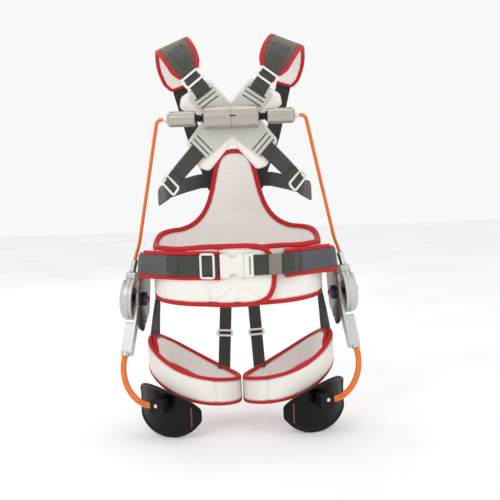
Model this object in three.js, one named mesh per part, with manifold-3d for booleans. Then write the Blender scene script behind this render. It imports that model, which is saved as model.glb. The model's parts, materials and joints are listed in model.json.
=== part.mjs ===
// A wearable lifting support: a padded hip belt, back pad, thigh loops and shoulder straps, with a
// chest plate joined by two sprung rods to a round drive unit at each hip and a pad on each thigh.
// Millimetres, +Z up, the front faces -Y. The origin is on the hip axis in the middle of the belt.
import * as THREE from 'three';
import { mergeVertices } from 'three/addons/utils/BufferGeometryUtils.js';
import Module from 'manifold-3d';

const wasm = await Module();
wasm.setup();

// ---- driving dimensions ----
const GAP = 0.35;
const DEG = Math.PI / 180;
// belt
const BELT_HALF_WIDTH = 174;
const BELT_HALF_DEPTH = 118;
const BELT_BOX = 2.5;
const BELT_TOP = 120;
const BELT_BOTTOM = 4;
const BELT_PAD = 12;
const BACK_RISE = 30;
const OVERLAP_END = 76;
const BELT_STRAP_Z = 78;
const BELT_STRAP_WIDTH = 42;
const BELT_STRAP_DROP = 12;
const STRAP_THICK = 2.4;
// back pad
const BACK_SPLIT = BELT_TOP + BACK_RISE;
const BACK_TOP = 312;
const BACK_NECK = 58;
const BACK_LEAN = 0.13;
// shoulder and chest
const CHEST_Y = -128;
const PLATE_THICK = 3;
const PLATE_HALF_WIDTH = 88;
const CHEST_PAD = 14;
const CYLINDER_RADIUS = 23;
const CYLINDER_HALF = 54;
const SIDE_CYLINDER_RADIUS = 15.5;
const SIDE_CYLINDER_LENGTH = 55;
const SHAFT_RADIUS = 3.5;
const BALL_RADIUS = 7;
const SHOULDER_TOP = 530;
const CHEST_DROP = 158;
const CHEST_Z = SHOULDER_TOP - CHEST_DROP;
const SHOULDER_X = 120;
const SHOULDER_PAD_WIDTH = 68;
const SHOULDER_PAD_THICK = 9;
const STRAP_WIDTH = 34;
// rods
const ROD_RADIUS = 3.6;
const ROD_BEND_X = 143;
const SLEEVE_RADIUS = 6.6;
// hip unit
const HIP_STANDOFF = 59;
const HIP_X = BELT_HALF_WIDTH + HIP_STANDOFF;
const HIP_YAW = 10;
const HIP_ROLL = 5;
const CASE_RADIUS = 48;
const CASE_THICK = 27;
const CASE_WALL = 6;
const BALL_BEARING = 9;
const HIP_PLATE_OFFSET = 29;
const HIP_PLATE_THICK = 3;
const HIP_PLATE_TOP = 104;
const HIP_PLATE_BOTTOM = 74;
// leg arm
const LINK_LENGTH = 126;
const LINK_SWING = 25;
const LINK_WIDTH = 27;
const LEG_STRAP_WIDTH = 27;
const LINK_CLEAR = 4.2;
const LINK_DEPTH = 18;
const LINK_TUBE = 10;
const LEG_TUBE_RADIUS = 6.3;
// thigh
const THIGH_X = 100.5;
const THIGH_Y = -4;
const LOOP_RADIUS_X = 94.5;
const LOOP_RADIUS_Y = 93;
const LOOP_TOP = -140;
const LOOP_HEIGHT = 59;
const LOOP_PAD = 11;
const PAD_RADIUS = 118;
const PAD_THICK = 5;
const PAD_CENTRE = 32;
const PAD_HALF_ANGLE = 40;
const PAD_MID_Z = -222;
const PAD_HALF_HEIGHT = 47;

// ---- materials ----
const mat = (color, roughness, metalness = 0) =>
  new THREE.MeshStandardMaterial({ color, roughness, metalness });
const WHITE_FABRIC = mat(0xebe8e1, 0.85);
const INNER_FABRIC = mat(0xdedad6, 0.85);
const OLIVE_FABRIC = mat(0x5a5246, 0.9);
const WEBBING = mat(0x46463f, 0.8);
const DARK_WEBBING = mat(0x2b2b2a, 0.8);
const WHITE_PLASTIC = mat(0xe8e6e1, 0.4);
const PLATE_METAL = mat(0xbebeb6, 0.35, 0.8);
const STEEL = mat(0xcdc8be, 0.3, 1);
const DARK_STEEL = mat(0x2c2b2a, 0.4, 0.8);
const ORANGE = mat(0xeb6e14, 0.3);
const CASE_PAINT = mat(0xc8cac8, 0.4, 0.3);
const BROWN_METAL = mat(0x6a5444, 0.3, 0.9);
const BRONZE = mat(0x9a6a3c, 0.35, 1);
const BLACK_SHELL = mat(0x141412, 0.35);
const BLACK_BLOCK = mat(0x1b1b1b, 0.5);

// ---- helpers ----
const V = (x, y, z) => new THREE.Vector3(x, y, z);
const group = new THREE.Group();
group.name = 'lift_support_harness';

function fromFaces(points, faces) {
  const g = new THREE.BufferGeometry();
  g.setAttribute('position', new THREE.Float32BufferAttribute(points.flatMap((p) => [p.x, p.y, p.z]), 3));
  g.setIndex(faces.flat());
  return g;
}

function toSolid(g) {
  const bare = new THREE.BufferGeometry();
  const flat = g.index ? g.toNonIndexed() : g;
  bare.setAttribute('position', flat.getAttribute('position'));
  const merged = mergeVertices(bare, 1e-4);
  return new wasm.Manifold(
    new wasm.Mesh({
      numProp: 3,
      vertProperties: merged.attributes.position.array,
      triVerts: new Uint32Array(merged.index.array),
    }),
  );
}

function fromSolid(s) {
  const m = s.getMesh();
  const g = new THREE.BufferGeometry();
  g.setAttribute('position', new THREE.BufferAttribute(new Float32Array(m.vertProperties), 3));
  g.setIndex(new THREE.BufferAttribute(new Uint32Array(m.triVerts), 1));
  return g;
}

const union = (...parts) => fromSolid(parts.map(toSolid).reduce((a, b) => a.add(b)));
const cut = (base, ...tools) => fromSolid(tools.map(toSolid).reduce((a, b) => a.subtract(b), toSolid(base)));

// A closed skin between two grids of points, each (nu + 1) x (nv + 1).
function shell(nu, nv, outer, inner) {
  const points = [];
  const faces = [];
  for (const f of [outer, inner]) {
    for (let i = 0; i <= nu; i++) {
      for (let j = 0; j <= nv; j++) points.push(f(i / nu, j / nv));
    }
  }
  const n = (nu + 1) * (nv + 1);
  const id = (i, j, k) => k * n + i * (nv + 1) + j;
  const quad = (a, b, c, d) => faces.push([a, b, c], [a, c, d]);
  for (let i = 0; i < nu; i++) {
    for (let j = 0; j < nv; j++) {
      quad(id(i, j, 0), id(i + 1, j, 0), id(i + 1, j + 1, 0), id(i, j + 1, 0));
      quad(id(i, j, 1), id(i, j + 1, 1), id(i + 1, j + 1, 1), id(i + 1, j, 1));
    }
    quad(id(i, 0, 0), id(i, 0, 1), id(i + 1, 0, 1), id(i + 1, 0, 0));
    quad(id(i, nv, 0), id(i + 1, nv, 0), id(i + 1, nv, 1), id(i, nv, 1));
  }
  for (let j = 0; j < nv; j++) {
    quad(id(0, j, 0), id(0, j + 1, 0), id(0, j + 1, 1), id(0, j, 1));
    quad(id(nu, j, 0), id(nu, j, 1), id(nu, j + 1, 1), id(nu, j + 1, 0));
  }
  return outward(fromFaces(points, faces));
}

function outward(g) {
  if (toSolid(g).volume() > 0) return g;
  const index = g.index.array;
  for (let i = 0; i < index.length; i += 3) [index[i + 1], index[i + 2]] = [index[i + 2], index[i + 1]];
  return g;
}

// A flat strap: stations are {p, n}, with n the direction the strap's outer face looks in.
function strap(stations, width, thick) {
  const points = [];
  const faces = [];
  stations.forEach(({ p, n }, i) => {
    const before = stations[Math.max(0, i - 1)].p;
    const after = stations[Math.min(stations.length - 1, i + 1)].p;
    const along = after.clone().sub(before).normalize();
    const out = n.clone().addScaledVector(along, -n.dot(along)).normalize();
    const side = along.clone().cross(out).normalize();
    for (const [a, b] of [[-1, -1], [1, -1], [1, 1], [-1, 1]]) {
      points.push(p.clone().addScaledVector(side, (a * width) / 2).addScaledVector(out, (b * thick) / 2));
    }
  });
  const last = (stations.length - 1) * 4;
  for (let i = 0; i < last; i += 4) {
    for (let k = 0; k < 4; k++) {
      const m = (k + 1) % 4;
      faces.push([i + k, i + m, i + 4 + m], [i + k, i + 4 + m, i + 4 + k]);
    }
  }
  faces.push([0, 2, 1], [0, 3, 2], [last, last + 1, last + 2], [last, last + 2, last + 3]);
  return outward(fromFaces(points, faces));
}

// Straight runs between corners, each corner rounded to a radius.
function roundedPath(corners, radius, steps) {
  const points = [corners[0]];
  for (let i = 1; i < corners.length - 1; i++) {
    const a = corners[i - 1].clone().sub(corners[i]).normalize();
    const b = corners[i + 1].clone().sub(corners[i]).normalize();
    const half = a.angleTo(b) / 2;
    const reach = radius[i - 1] / Math.tan(half);
    const curve = new THREE.QuadraticBezierCurve3(
      corners[i].clone().addScaledVector(a, reach),
      corners[i],
      corners[i].clone().addScaledVector(b, reach),
    );
    points.push(...curve.getPoints(steps));
  }
  points.push(corners[corners.length - 1]);
  return points;
}

// A round bar along a path.
function bar(path, radius, sides = 12) {
  const points = [];
  const faces = [];
  let side = null;
  path.forEach((p, i) => {
    const before = path[Math.max(0, i - 1)];
    const after = path[Math.min(path.length - 1, i + 1)];
    const along = after.clone().sub(before).normalize();
    if (!side) side = Math.abs(along.y) < 0.9 ? V(0, 1, 0) : V(1, 0, 0);
    side = side.clone().addScaledVector(along, -side.dot(along)).normalize();
    const up = along.clone().cross(side);
    for (let k = 0; k < sides; k++) {
      const t = (k / sides) * 2 * Math.PI;
      points.push(
        p.clone().addScaledVector(side, radius * Math.cos(t)).addScaledVector(up, radius * Math.sin(t)),
      );
    }
  });
  for (let i = 0; i < path.length - 1; i++) {
    for (let k = 0; k < sides; k++) {
      const m = (k + 1) % sides;
      const [a, b] = [i * sides, (i + 1) * sides];
      faces.push([a + k, a + m, b + m], [a + k, b + m, b + k]);
    }
  }
  const last = (path.length - 1) * sides;
  for (let k = 1; k < sides - 1; k++) {
    faces.push([0, k + 1, k], [last, last + k, last + k + 1]);
  }
  return outward(fromFaces(points, faces));
}

// A turned piece about the X axis from [x, radius] pairs.
function turned(profile, sides) {
  const g = new THREE.LatheGeometry(profile.map(([x, r]) => new THREE.Vector2(r, x)), sides);
  g.rotateZ(-Math.PI / 2);
  return outward(new THREE.BufferGeometry().copy(mergeVertices(strip(g), 1e-4)));
}

function strip(g) {
  const bare = new THREE.BufferGeometry();
  const flat = g.index ? g.toNonIndexed() : g;
  bare.setAttribute('position', flat.getAttribute('position'));
  return bare;
}

// A flat piece in the plane across X, from a shape drawn in (y, z), between two values of x.
function plateAcrossX(shape, x0, x1, segments = 8) {
  const settings = { depth: x1 - x0, bevelEnabled: false, curveSegments: segments };
  const g = new THREE.ExtrudeGeometry(shape, settings);
  g.applyMatrix4(new THREE.Matrix4().makeBasis(V(0, 1, 0), V(0, 0, 1), V(1, 0, 0)));
  g.translate(x0, 0, 0);
  return strip(g);
}

// A flat piece in the plane across Y, from a shape drawn in (x, z), from y0 (front) to y1.
function plateAcrossY(shape, y0, y1, segments = 8) {
  const settings = { depth: y1 - y0, bevelEnabled: false, curveSegments: segments };
  const g = new THREE.ExtrudeGeometry(shape, settings);
  g.applyMatrix4(new THREE.Matrix4().makeBasis(V(1, 0, 0), V(0, 0, 1), V(0, -1, 0)));
  g.translate(0, y1, 0);
  return strip(g);
}

function roundedPolygon(corners, radius) {
  const shape = new THREE.Shape();
  const n = corners.length;
  corners.forEach(([x, y], i) => {
    const c = new THREE.Vector2(x, y);
    const a = new THREE.Vector2(...corners[(i + n - 1) % n]).sub(c).normalize();
    const b = new THREE.Vector2(...corners[(i + 1) % n]).sub(c).normalize();
    const start = c.clone().addScaledVector(a, radius);
    const end = c.clone().addScaledVector(b, radius);
    if (i === 0) shape.moveTo(start.x, start.y);
    else shape.lineTo(start.x, start.y);
    shape.quadraticCurveTo(c.x, c.y, end.x, end.y);
  });
  shape.closePath();
  return shape;
}

function box(cx, cy, cz, sx, sy, sz) {
  return strip(new THREE.BoxGeometry(sx, sy, sz).translate(cx, cy, cz));
}

function mirrored(g) {
  const m = strip(g.clone());
  const p = m.getAttribute('position');
  for (let i = 0; i < p.count; i += 3) {
    const a = [p.getX(i + 1), p.getY(i + 1), p.getZ(i + 1)];
    p.setXYZ(i + 1, p.getX(i + 2), p.getY(i + 2), p.getZ(i + 2));
    p.setXYZ(i + 2, ...a);
  }
  for (let i = 0; i < p.count; i++) p.setX(i, -p.getX(i));
  return m;
}

function add(name, geometry, material) {
  const g = mergeVertices(strip(geometry), 1e-3);
  g.computeVertexNormals();
  const mesh = new THREE.Mesh(g, material);
  mesh.name = name;
  group.add(mesh);
  return mesh;
}

// The wearer's left is +X; the right side is its mirror image.
function addPair(name, geometry, material) {
  add(name + '_left', geometry, material);
  add(name + '_right', mirrored(geometry), material);
}

const smooth = (a, b, x) => {
  const t = Math.min(1, Math.max(0, (x - a) / (b - a)));
  return t * t * (3 - 2 * t);
};

// ---- belt ring: angle 0 is the front, +90 the wearer's left ----
function beltPoint(deg, off, z) {
  const t = deg * DEG;
  const s = Math.sin(t);
  const c = -Math.cos(t);
  const k = 2 / BELT_BOX;
  const x = BELT_HALF_WIDTH * Math.sign(s) * Math.abs(s) ** k;
  const y = BELT_HALF_DEPTH * Math.sign(c) * Math.abs(c) ** k;
  const n = beltNormal(x, y);
  return V(x + n.x * off, y + n.y * off, z);
}

function beltNormal(x, y) {
  const e = BELT_BOX - 1;
  return V(
    (Math.sign(x) * (Math.abs(x) / BELT_HALF_WIDTH) ** e) / BELT_HALF_WIDTH,
    (Math.sign(y) * (Math.abs(y) / BELT_HALF_DEPTH) ** e) / BELT_HALF_DEPTH,
    0,
  ).normalize();
}

// The angle at which the front of the belt reaches a given x.
function angleAtX(x) {
  const s = (Math.abs(x) / BELT_HALF_WIDTH) ** (BELT_BOX / 2);
  return (Math.sign(x) * Math.asin(Math.min(1, s))) / DEG;
}

// How far the wearer's right front panel stands off where it lies over the left one.
const lap = (deg) => (BELT_PAD + GAP) * smooth(-20, -2, deg);
const beltLow = (deg) => BELT_BOTTOM - 10 * Math.cos(Math.min(90, Math.abs(deg)) * DEG);
const beltHigh = (deg) => {
  const back = Math.max(0, (Math.abs(deg) - 100) / 80);
  return BELT_TOP - 5 * smooth(60, 100, Math.abs(deg)) + (BACK_RISE + 5) * smooth(0.1, 0.62, back);
};

function beltPanel(from, to, steps, off, endRound, high = beltHigh) {
  const f = (side) => (u, v) => {
    const deg = from + (to - from) * u;
    const reach = Math.min(1, ((1 - u) * (to - from)) / endRound || 0);
    const open = endRound ? Math.sqrt(Math.max(0, 1 - (1 - reach) ** 2)) * 0.72 + 0.28 : 1;
    const mid = (beltLow(deg) + high(deg)) / 2;
    const half = ((high(deg) - beltLow(deg)) / 2) * open;
    const z = mid + (2 * v - 1) * half;
    const edge = 1 - 0.55 * (2 * v - 1) ** 6;
    return beltPoint(deg, off(deg) + (side * edge * BELT_PAD) / 2, z);
  };
  return shell(steps, 4, f(1), f(-1));
}

const SEAM = 62;
const seamGap = 0.15;
add('belt_pad_back', beltPanel(SEAM + seamGap, 360 - SEAM - seamGap, 30, () => 0, 0, (d) =>
  beltHigh(d > 180 ? d - 360 : d)), WHITE_FABRIC);
add('belt_pad_front_left', beltPanel(2, SEAM - seamGap, 8, () => 0, 0), WHITE_FABRIC);
add('belt_pad_front_right',
  beltPanel(-SEAM + seamGap, angleAtX(OVERLAP_END), 16, lap, 12), WHITE_FABRIC);

// ---- hip frame: x points out along the drive unit's axis ----
const hip = new THREE.Matrix4()
  .makeTranslation(HIP_X, 0, 0)
  .multiply(new THREE.Matrix4().makeRotationZ(HIP_YAW * DEG))
  .multiply(new THREE.Matrix4().makeRotationY(-HIP_ROLL * DEG));
const atHip = (g) => strip(g.clone().applyMatrix4(hip));
const hipPoint = (x, y, z) => V(x, y, z).applyMatrix4(hip);

// ---- belt webbing: from the buckle round the outside of each hip plate ----
const padFace = BELT_PAD / 2 + GAP + STRAP_THICK / 2;
const STRAP_ENDS = { left: 34.2, right: 36 };
const SLIDER_END = 78;
const SLIDER_LIFT = 4.2;
const LEAVE = 52;
const plateX = -HIP_PLATE_OFFSET + HIP_PLATE_THICK / 2 + GAP + STRAP_THICK / 2;
// the strap's place on the belt: the right one stands off for the slider and for the lapped panel
function onBelt(side, deg) {
  const stand = (BELT_PAD + GAP) * (1 - smooth(27, 42, deg));
  const ease = side < 0 ? lap(-deg) + SLIDER_LIFT * (1 - smooth(34, 46, deg)) : stand;
  const p = beltPoint(deg, 0, 0);
  return { p: beltPoint(deg, padFace + ease, BELT_STRAP_Z), n: beltNormal(p.x, p.y) };
}
function beltWebbing(side, startX, straightTo) {
  const stations = [onBelt(side, angleAtX(startX))];
  const first = angleAtX(straightTo);
  for (let i = 0; i <= 5; i++) stations.push(onBelt(side, first + ((LEAVE - first) * i) / 5));
  const out = V(1, 0, 0).transformDirection(hip);
  for (const [y, share] of [[-42, 0], [0, 0.4], [47, 0.8]]) {
    const p = hipPoint(plateX, y, 0);
    const lift = (BELT_STRAP_Z - BELT_STRAP_DROP * share - p.z) / Math.cos(HIP_ROLL * DEG);
    stations.push({ p: hipPoint(plateX, y, lift), n: out });
  }
  for (const deg of [113, 117, 121]) {
    const on = beltPoint(deg, padFace + 0.5, BELT_STRAP_Z - BELT_STRAP_DROP);
    stations.push({ p: on, n: beltNormal(on.x, on.y) });
  }
  return strap(stations, BELT_STRAP_WIDTH, STRAP_THICK);
}
add('belt_webbing_left', beltWebbing(1, STRAP_ENDS.left, 60), WEBBING);
add('belt_webbing_right', mirrored(beltWebbing(-1, STRAP_ENDS.right, SLIDER_END)), WEBBING);

// ---- buckle on the belt's front ----
const LAP_FACE = -BELT_HALF_DEPTH - BELT_PAD / 2 - BELT_PAD - GAP;
const BUCKLE_SIZE = 48;
const BUCKLE_THICK = 9;
const SOCKET_X = [-34, 14];
const by = LAP_FACE - GAP - BUCKLE_THICK;
const mouth = new THREE.Shape()
  .moveTo(SOCKET_X[0], BELT_STRAP_Z - BUCKLE_SIZE / 2)
  .lineTo(SOCKET_X[1], BELT_STRAP_Z - BUCKLE_SIZE / 2)
  .lineTo(SOCKET_X[1], BELT_STRAP_Z + BUCKLE_SIZE / 2)
  .lineTo(SOCKET_X[0], BELT_STRAP_Z + BUCKLE_SIZE / 2)
  .closePath();
const socketBody = plateAcrossY(mouth, by, by + BUCKLE_THICK);
const notch = (sign) =>
  turned([[-20, 0], [-20, 9], [20, 9], [20, 0]], 20).rotateZ(Math.PI / 2)
    .translate(-8, by + 4, BELT_STRAP_Z + sign * (BUCKLE_SIZE / 2 + 1));
const throat = box(2, by + BUCKLE_THICK / 2, BELT_STRAP_Z, 40, 4.4, BUCKLE_SIZE - 10);
add('buckle_socket', cut(socketBody, notch(1), notch(-1), throat), WHITE_PLASTIC);
const tongue = box(4, by + BUCKLE_THICK / 2, BELT_STRAP_Z, 21, 3.6, 15);
const plugFrame = cut(
  box(24, by + BUCKLE_THICK / 2, BELT_STRAP_Z, 19, 7, BUCKLE_SIZE - 2),
  box(26.5, by + BUCKLE_THICK / 2, BELT_STRAP_Z, 3.4, 12, BUCKLE_SIZE - 12),
);
add('buckle_plug', union(plugFrame, tongue), WHITE_PLASTIC);
// the sprung tabs that are pressed in, one at the top edge and one at the bottom edge
const tab = (sign) => {
  const z = BELT_STRAP_Z + sign * 13.2;
  return union(
    box(-3, by + BUCKLE_THICK / 2, z, 32, 3.6, 5.4).translate(1.2, 0, 0),
    box(-8, by + BUCKLE_THICK / 2 - 0.4, z + sign * 1.7, 12, 3.2, 4.4),
  );
};
add('buckle_tab_upper', tab(1), WHITE_PLASTIC);
add('buckle_tab_lower', tab(-1), WHITE_PLASTIC);

// A ladder slider over a strap: two bars in front, one behind, in its own frame where
// z runs along the strap and -y looks out. The strap lies in the plane y = 0.
function slider(width, length, bar0 = 4, gap = 0.3) {
  const half = STRAP_THICK / 2 + gap;
  const x = width / 2 + 3.4;
  const rail = (s) => box(s * x, 0, 0, 5, half * 2 + 3, length);
  const front = (z) => box(0, -half - 1.6, z, 2 * x, 3.2, bar0);
  const rear = box(0, half + 1.2, 0, 2 * x, 2.4, bar0);
  return union(rail(1), rail(-1), front(length / 2 - bar0 / 2), front(-length / 2 + bar0 / 2), rear);
}

function placed(g, origin, along, outwardDir) {
  const z = along.clone().normalize();
  const y = outwardDir.clone().addScaledVector(z, -outwardDir.dot(z)).normalize().negate();
  const x = y.clone().cross(z);
  return strip(g.clone().applyMatrix4(new THREE.Matrix4().makeBasis(x, y, z).setPosition(origin)));
}

// belt slider on the wearer's right, next to the buckle, on the strap's straight run
{
  const from = onBelt(-1, angleAtX(STRAP_ENDS.right));
  const to = onBelt(-1, angleAtX(SLIDER_END));
  const centre = from.p.clone().lerp(to.p, 0.5);
  const facing = from.n.clone().lerp(to.n, 0.5);
  const ladder = placed(slider(BELT_STRAP_WIDTH, 33), centre, to.p.sub(from.p), facing);
  add('belt_slider', mirrored(ladder), WHITE_PLASTIC);
}

// ---- back pad above the belt ----
{
  const widthAt = (z) => {
    const flare = 34 * (1 - smooth(BACK_SPLIT - 14, BACK_SPLIT + 52, z));
    const taper = 12 * smooth(BACK_SPLIT + 50, BACK_TOP - 30, z);
    const cap = Math.max(0, (z - (BACK_TOP - 46)) / 46);
    return (BACK_NECK + 10 + flare - taper) * Math.sqrt(Math.max(0.012, 1 - cap ** 2.4));
  };
  const base = beltPoint(180, 0, 0).y;
  const f = (side) => (u, v) => {
    const z = BACK_SPLIT + GAP + (BACK_TOP - BACK_SPLIT - GAP) * v;
    const q = 2 * u - 1;
    const x = q * widthAt(z);
    const bend = -26 * (x / BELT_HALF_WIDTH) ** 2;
    const edge = 1 - 0.55 * q ** 6;
    return V(x, base + bend + BACK_LEAN * (z - BACK_SPLIT) + (side * edge * BELT_PAD) / 2, z);
  };
  add('back_pad_upper', shell(8, 12, f(1), f(-1)), INNER_FABRIC);
}

// ---- chest plate and pad ----
const xShape = (grow, radius) => {
  const half = [
    [0, 28 + grow], [40, 74 + grow], [86 + grow, 46 + grow], [46 + grow, 2],
    [PLATE_HALF_WIDTH + grow, -46], [58 + grow * 0.4, -82 - grow], [0, -33 - grow],
  ];
  const other = half.slice(1, 6).reverse().map(([x, z]) => [-x, z]);
  const all = [...half, ...other].map(([x, z]) => [x, z + CHEST_Z]);
  return roundedPolygon(all, radius);
};
const slotAt = (x, z, angle) => {
  const g = box(0, 0, 0, STRAP_WIDTH + 4, 20, 3.4);
  g.rotateY(angle);
  return strip(g.translate(x, CHEST_Y, CHEST_Z + z));
};
const slots = [];
for (const s of [1, -1]) {
  for (const k of [0, 1, 2]) {
    const [x, z] = [53 - 5.6 * k, 50 - 8 * k];
    slots.push(slotAt(s * x, z, s * 35 * DEG));
    const [lx, lz] = [69 - 7 * k, -60 + 6.6 * k];
    slots.push(slotAt(s * lx, lz, -s * 48 * DEG));
  }
}
add('chest_plate', cut(plateAcrossY(xShape(0, 6), CHEST_Y - PLATE_THICK, CHEST_Y, 3), ...slots), PLATE_METAL);
// the pad shows beyond the plate: a lobe at each upper arm's side and below each lower arm
const padHalf = [
  [0, 33], [40, 79], [78, 58], [PLATE_HALF_WIDTH + 11, 44], [PLATE_HALF_WIDTH + 14, 24], [56, 0],
  [PLATE_HALF_WIDTH + 3, -46], [68, -95], [48, -101], [0, -46],
];
const padOther = padHalf.slice(1, 9).reverse().map(([x, z]) => [-x, z]);
const padShape = roundedPolygon([...padHalf, ...padOther].map(([x, z]) => [x, z + CHEST_Z]), 7);
add('chest_pad', plateAcrossY(padShape, CHEST_Y + GAP, CHEST_Y + GAP + CHEST_PAD, 4), WHITE_FABRIC);

// ---- chest cylinders on a shaft with a ball at each end ----
const SHAFT_Y = CHEST_Y - PLATE_THICK - CYLINDER_RADIUS - GAP;
const SHAFT_Z = CHEST_Z + 2;
const BALL_X = CYLINDER_HALF + 9;
const halfCylinder = turned([
  [0.2, SHAFT_RADIUS + GAP], [0.2, CYLINDER_RADIUS - 1], [1.2, CYLINDER_RADIUS],
  [CYLINDER_HALF - 3, CYLINDER_RADIUS], [CYLINDER_HALF, CYLINDER_RADIUS - 3],
  [CYLINDER_HALF, SHAFT_RADIUS + GAP], [0.2, SHAFT_RADIUS + GAP],
], 28).translate(0, SHAFT_Y, SHAFT_Z);
addPair('chest_cylinder', halfCylinder, STEEL);
const ballArc = [];
for (let i = 0; i < 7; i++) {
  const t = (i / 7) * Math.PI * 0.84 + Math.PI * 0.16;
  ballArc.push([BALL_X - BALL_RADIUS * Math.cos(t), BALL_RADIUS * Math.sin(t)]);
}
const shaftHalf = [[0, SHAFT_RADIUS], ...ballArc, [BALL_X + BALL_RADIUS, 0]];
const shaftOther = shaftHalf.map(([x, r]) => [-x, r]).reverse().slice(0, -1);
add('chest_shaft', turned([...shaftOther, ...shaftHalf], 12).translate(0, SHAFT_Y, SHAFT_Z), DARK_STEEL);

const SIDE_X = BALL_X + BALL_RADIUS + 0.5;
const sideCylinder = turned([
  [SIDE_X, ROD_RADIUS], [SIDE_X, SIDE_CYLINDER_RADIUS - 2], [SIDE_X + 2, SIDE_CYLINDER_RADIUS],
  [SIDE_X + SIDE_CYLINDER_LENGTH - 3, SIDE_CYLINDER_RADIUS],
  [SIDE_X + SIDE_CYLINDER_LENGTH, SIDE_CYLINDER_RADIUS - 3],
  [SIDE_X + SIDE_CYLINDER_LENGTH, ROD_RADIUS + GAP], [SIDE_X + 22, ROD_RADIUS + GAP],
  [SIDE_X + 22, ROD_RADIUS], [SIDE_X, ROD_RADIUS],
], 24).translate(0, SHAFT_Y, SHAFT_Z);
addPair('side_cylinder', sideCylinder, STEEL);

// ---- torso rods, sleeves ----
const SLEEVE_TOP = hipPoint(-7, -2, CASE_RADIUS + 36);
const SLEEVE_LOW = hipPoint(-2, -2, CASE_RADIUS + 10.7);
const rodEntry = SLEEVE_TOP.clone().lerp(SLEEVE_LOW, -0.45);
const rodKink = V(SLEEVE_TOP.x - 13, SLEEVE_TOP.y - 20, SLEEVE_TOP.z + 36);
const rodStart = V(SIDE_X + 24, SHAFT_Y, SHAFT_Z);
const rodBend = V(ROD_BEND_X + 3, SHAFT_Y, SHAFT_Z);
const rodEnd = SLEEVE_TOP.clone().lerp(SLEEVE_LOW, 0.6);
addPair('torso_rod', bar(roundedPath([rodStart, rodBend, rodKink, rodEntry, rodEnd], [13, 60, 20], 5),
  ROD_RADIUS, 8), ORANGE);
const sleeveBore = bar([SLEEVE_TOP.clone().lerp(SLEEVE_LOW, -0.2), SLEEVE_TOP.clone().lerp(SLEEVE_LOW, 0.72)],
  ROD_RADIUS + GAP, 12);
addPair('rod_sleeve', cut(bar([SLEEVE_TOP, SLEEVE_LOW], SLEEVE_RADIUS, 16), sleeveBore), STEEL);

// ---- hip casing with ribs on its rim and a tower that takes the sleeve ----
const H = CASE_THICK / 2;
const R = CASE_RADIUS;
const caseBody = turned([
  [-H, R - CASE_WALL], [-H, R - 1], [-H + 1, R], [-H + 6, R], [-H + 6.8, R - 1.6], [-H + 9.4, R - 1.6],
  [-H + 10.2, R], [H - 8, R], [H - 7, R - 2], [H - 3, R - 3], [H, R - 7], [H, 0],
  [H - 4.5, 0], [H - 4.5, R - CASE_WALL], [-H, R - CASE_WALL],
], 32);
const tower = plateAcrossX(roundedPolygon([
  [-18, R - CASE_WALL + 1], [18, R - CASE_WALL + 1], [12, R + 9], [-15, R + 9],
], 3), -H + 1, H - 5, 2);
const pinBore = turned([[-40, 0], [-40, 3.4], [40, 3.4], [40, 0]], 12);
pinBore.applyMatrix4(new THREE.Matrix4().makeRotationY(-Math.PI / 2));
pinBore.translate(H - 9, -24, R - 4);
addPair('hip_casing', atHip(cut(union(caseBody, tower), box(H - 9, -30, R + 13, 10, 14, 20))), CASE_PAINT);
addPair('spring_pack', atHip(turned([
  [-H + 0.5, BALL_BEARING + GAP], [-H + 0.5, R - CASE_WALL - 4], [-H + 3, R - CASE_WALL - GAP],
  [H - 5, R - CASE_WALL - GAP], [H - 5, BALL_BEARING + GAP], [-H + 0.5, BALL_BEARING + GAP],
], 32)), BROWN_METAL);
// the round knob on the casing's outer face that locks the drive
addPair('lock_pin', atHip(turned([
  [H + GAP, 0], [H + GAP, 6], [H + 4, 6], [H + 4, 9], [H + 9, 9], [H + 10, 8], [H + 10, 0],
], 16)), STEEL);

// ---- hip plate, and the bolt with a ball end that carries the drive unit ----
const plateOut = -HIP_PLATE_OFFSET + HIP_PLATE_THICK / 2;
const plateIn = -HIP_PLATE_OFFSET - HIP_PLATE_THICK / 2;
const hipPlateShape = roundedPolygon([
  [-20, HIP_PLATE_TOP], [30, HIP_PLATE_TOP - 4], [44, 30], [48, -34],
  [6, -HIP_PLATE_BOTTOM], [-30, -HIP_PLATE_BOTTOM + 14], [-44, 24],
], 10);
const hipSlot = (k) => {
  const g = box(0, 0, 0, 20, 32, 3.2);
  g.rotateX(-35 * DEG);
  return strip(g.translate(-HIP_PLATE_OFFSET, 4 + 5 * k, -34 - 11 * k));
};
const boltHole = turned([[-60, 0], [-60, 5.6], [0, 5.6], [0, 0]], 16);
addPair('hip_plate', atHip(cut(plateAcrossX(hipPlateShape, plateIn, plateOut, 3), boltHole,
  hipSlot(0), hipSlot(1), hipSlot(2))), BROWN_METAL);
const ballRing = [];
for (let i = 0; i <= 7; i++) {
  const t = (0.27 + (0.73 * i) / 7) * Math.PI;
  ballRing.push([-BALL_BEARING * Math.cos(t), BALL_BEARING * Math.sin(t)]);
}
ballRing[7][1] = 0;
addPair('hip_bolt', atHip(turned([
  [plateIn - 11, 0], [plateIn - 11, 6], [plateIn - 10, 7], [plateIn - 6, 7], [plateIn - 6, 13],
  [plateIn - 5, 15], [plateIn - GAP, 15], [plateIn - GAP, 5.2], [plateOut + GAP, 5.2],
  [plateOut + GAP, 6.8], [-BALL_BEARING * Math.cos(0.27 * Math.PI) - 1, 6.8], ...ballRing,
], 14)), BRONZE);

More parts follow.
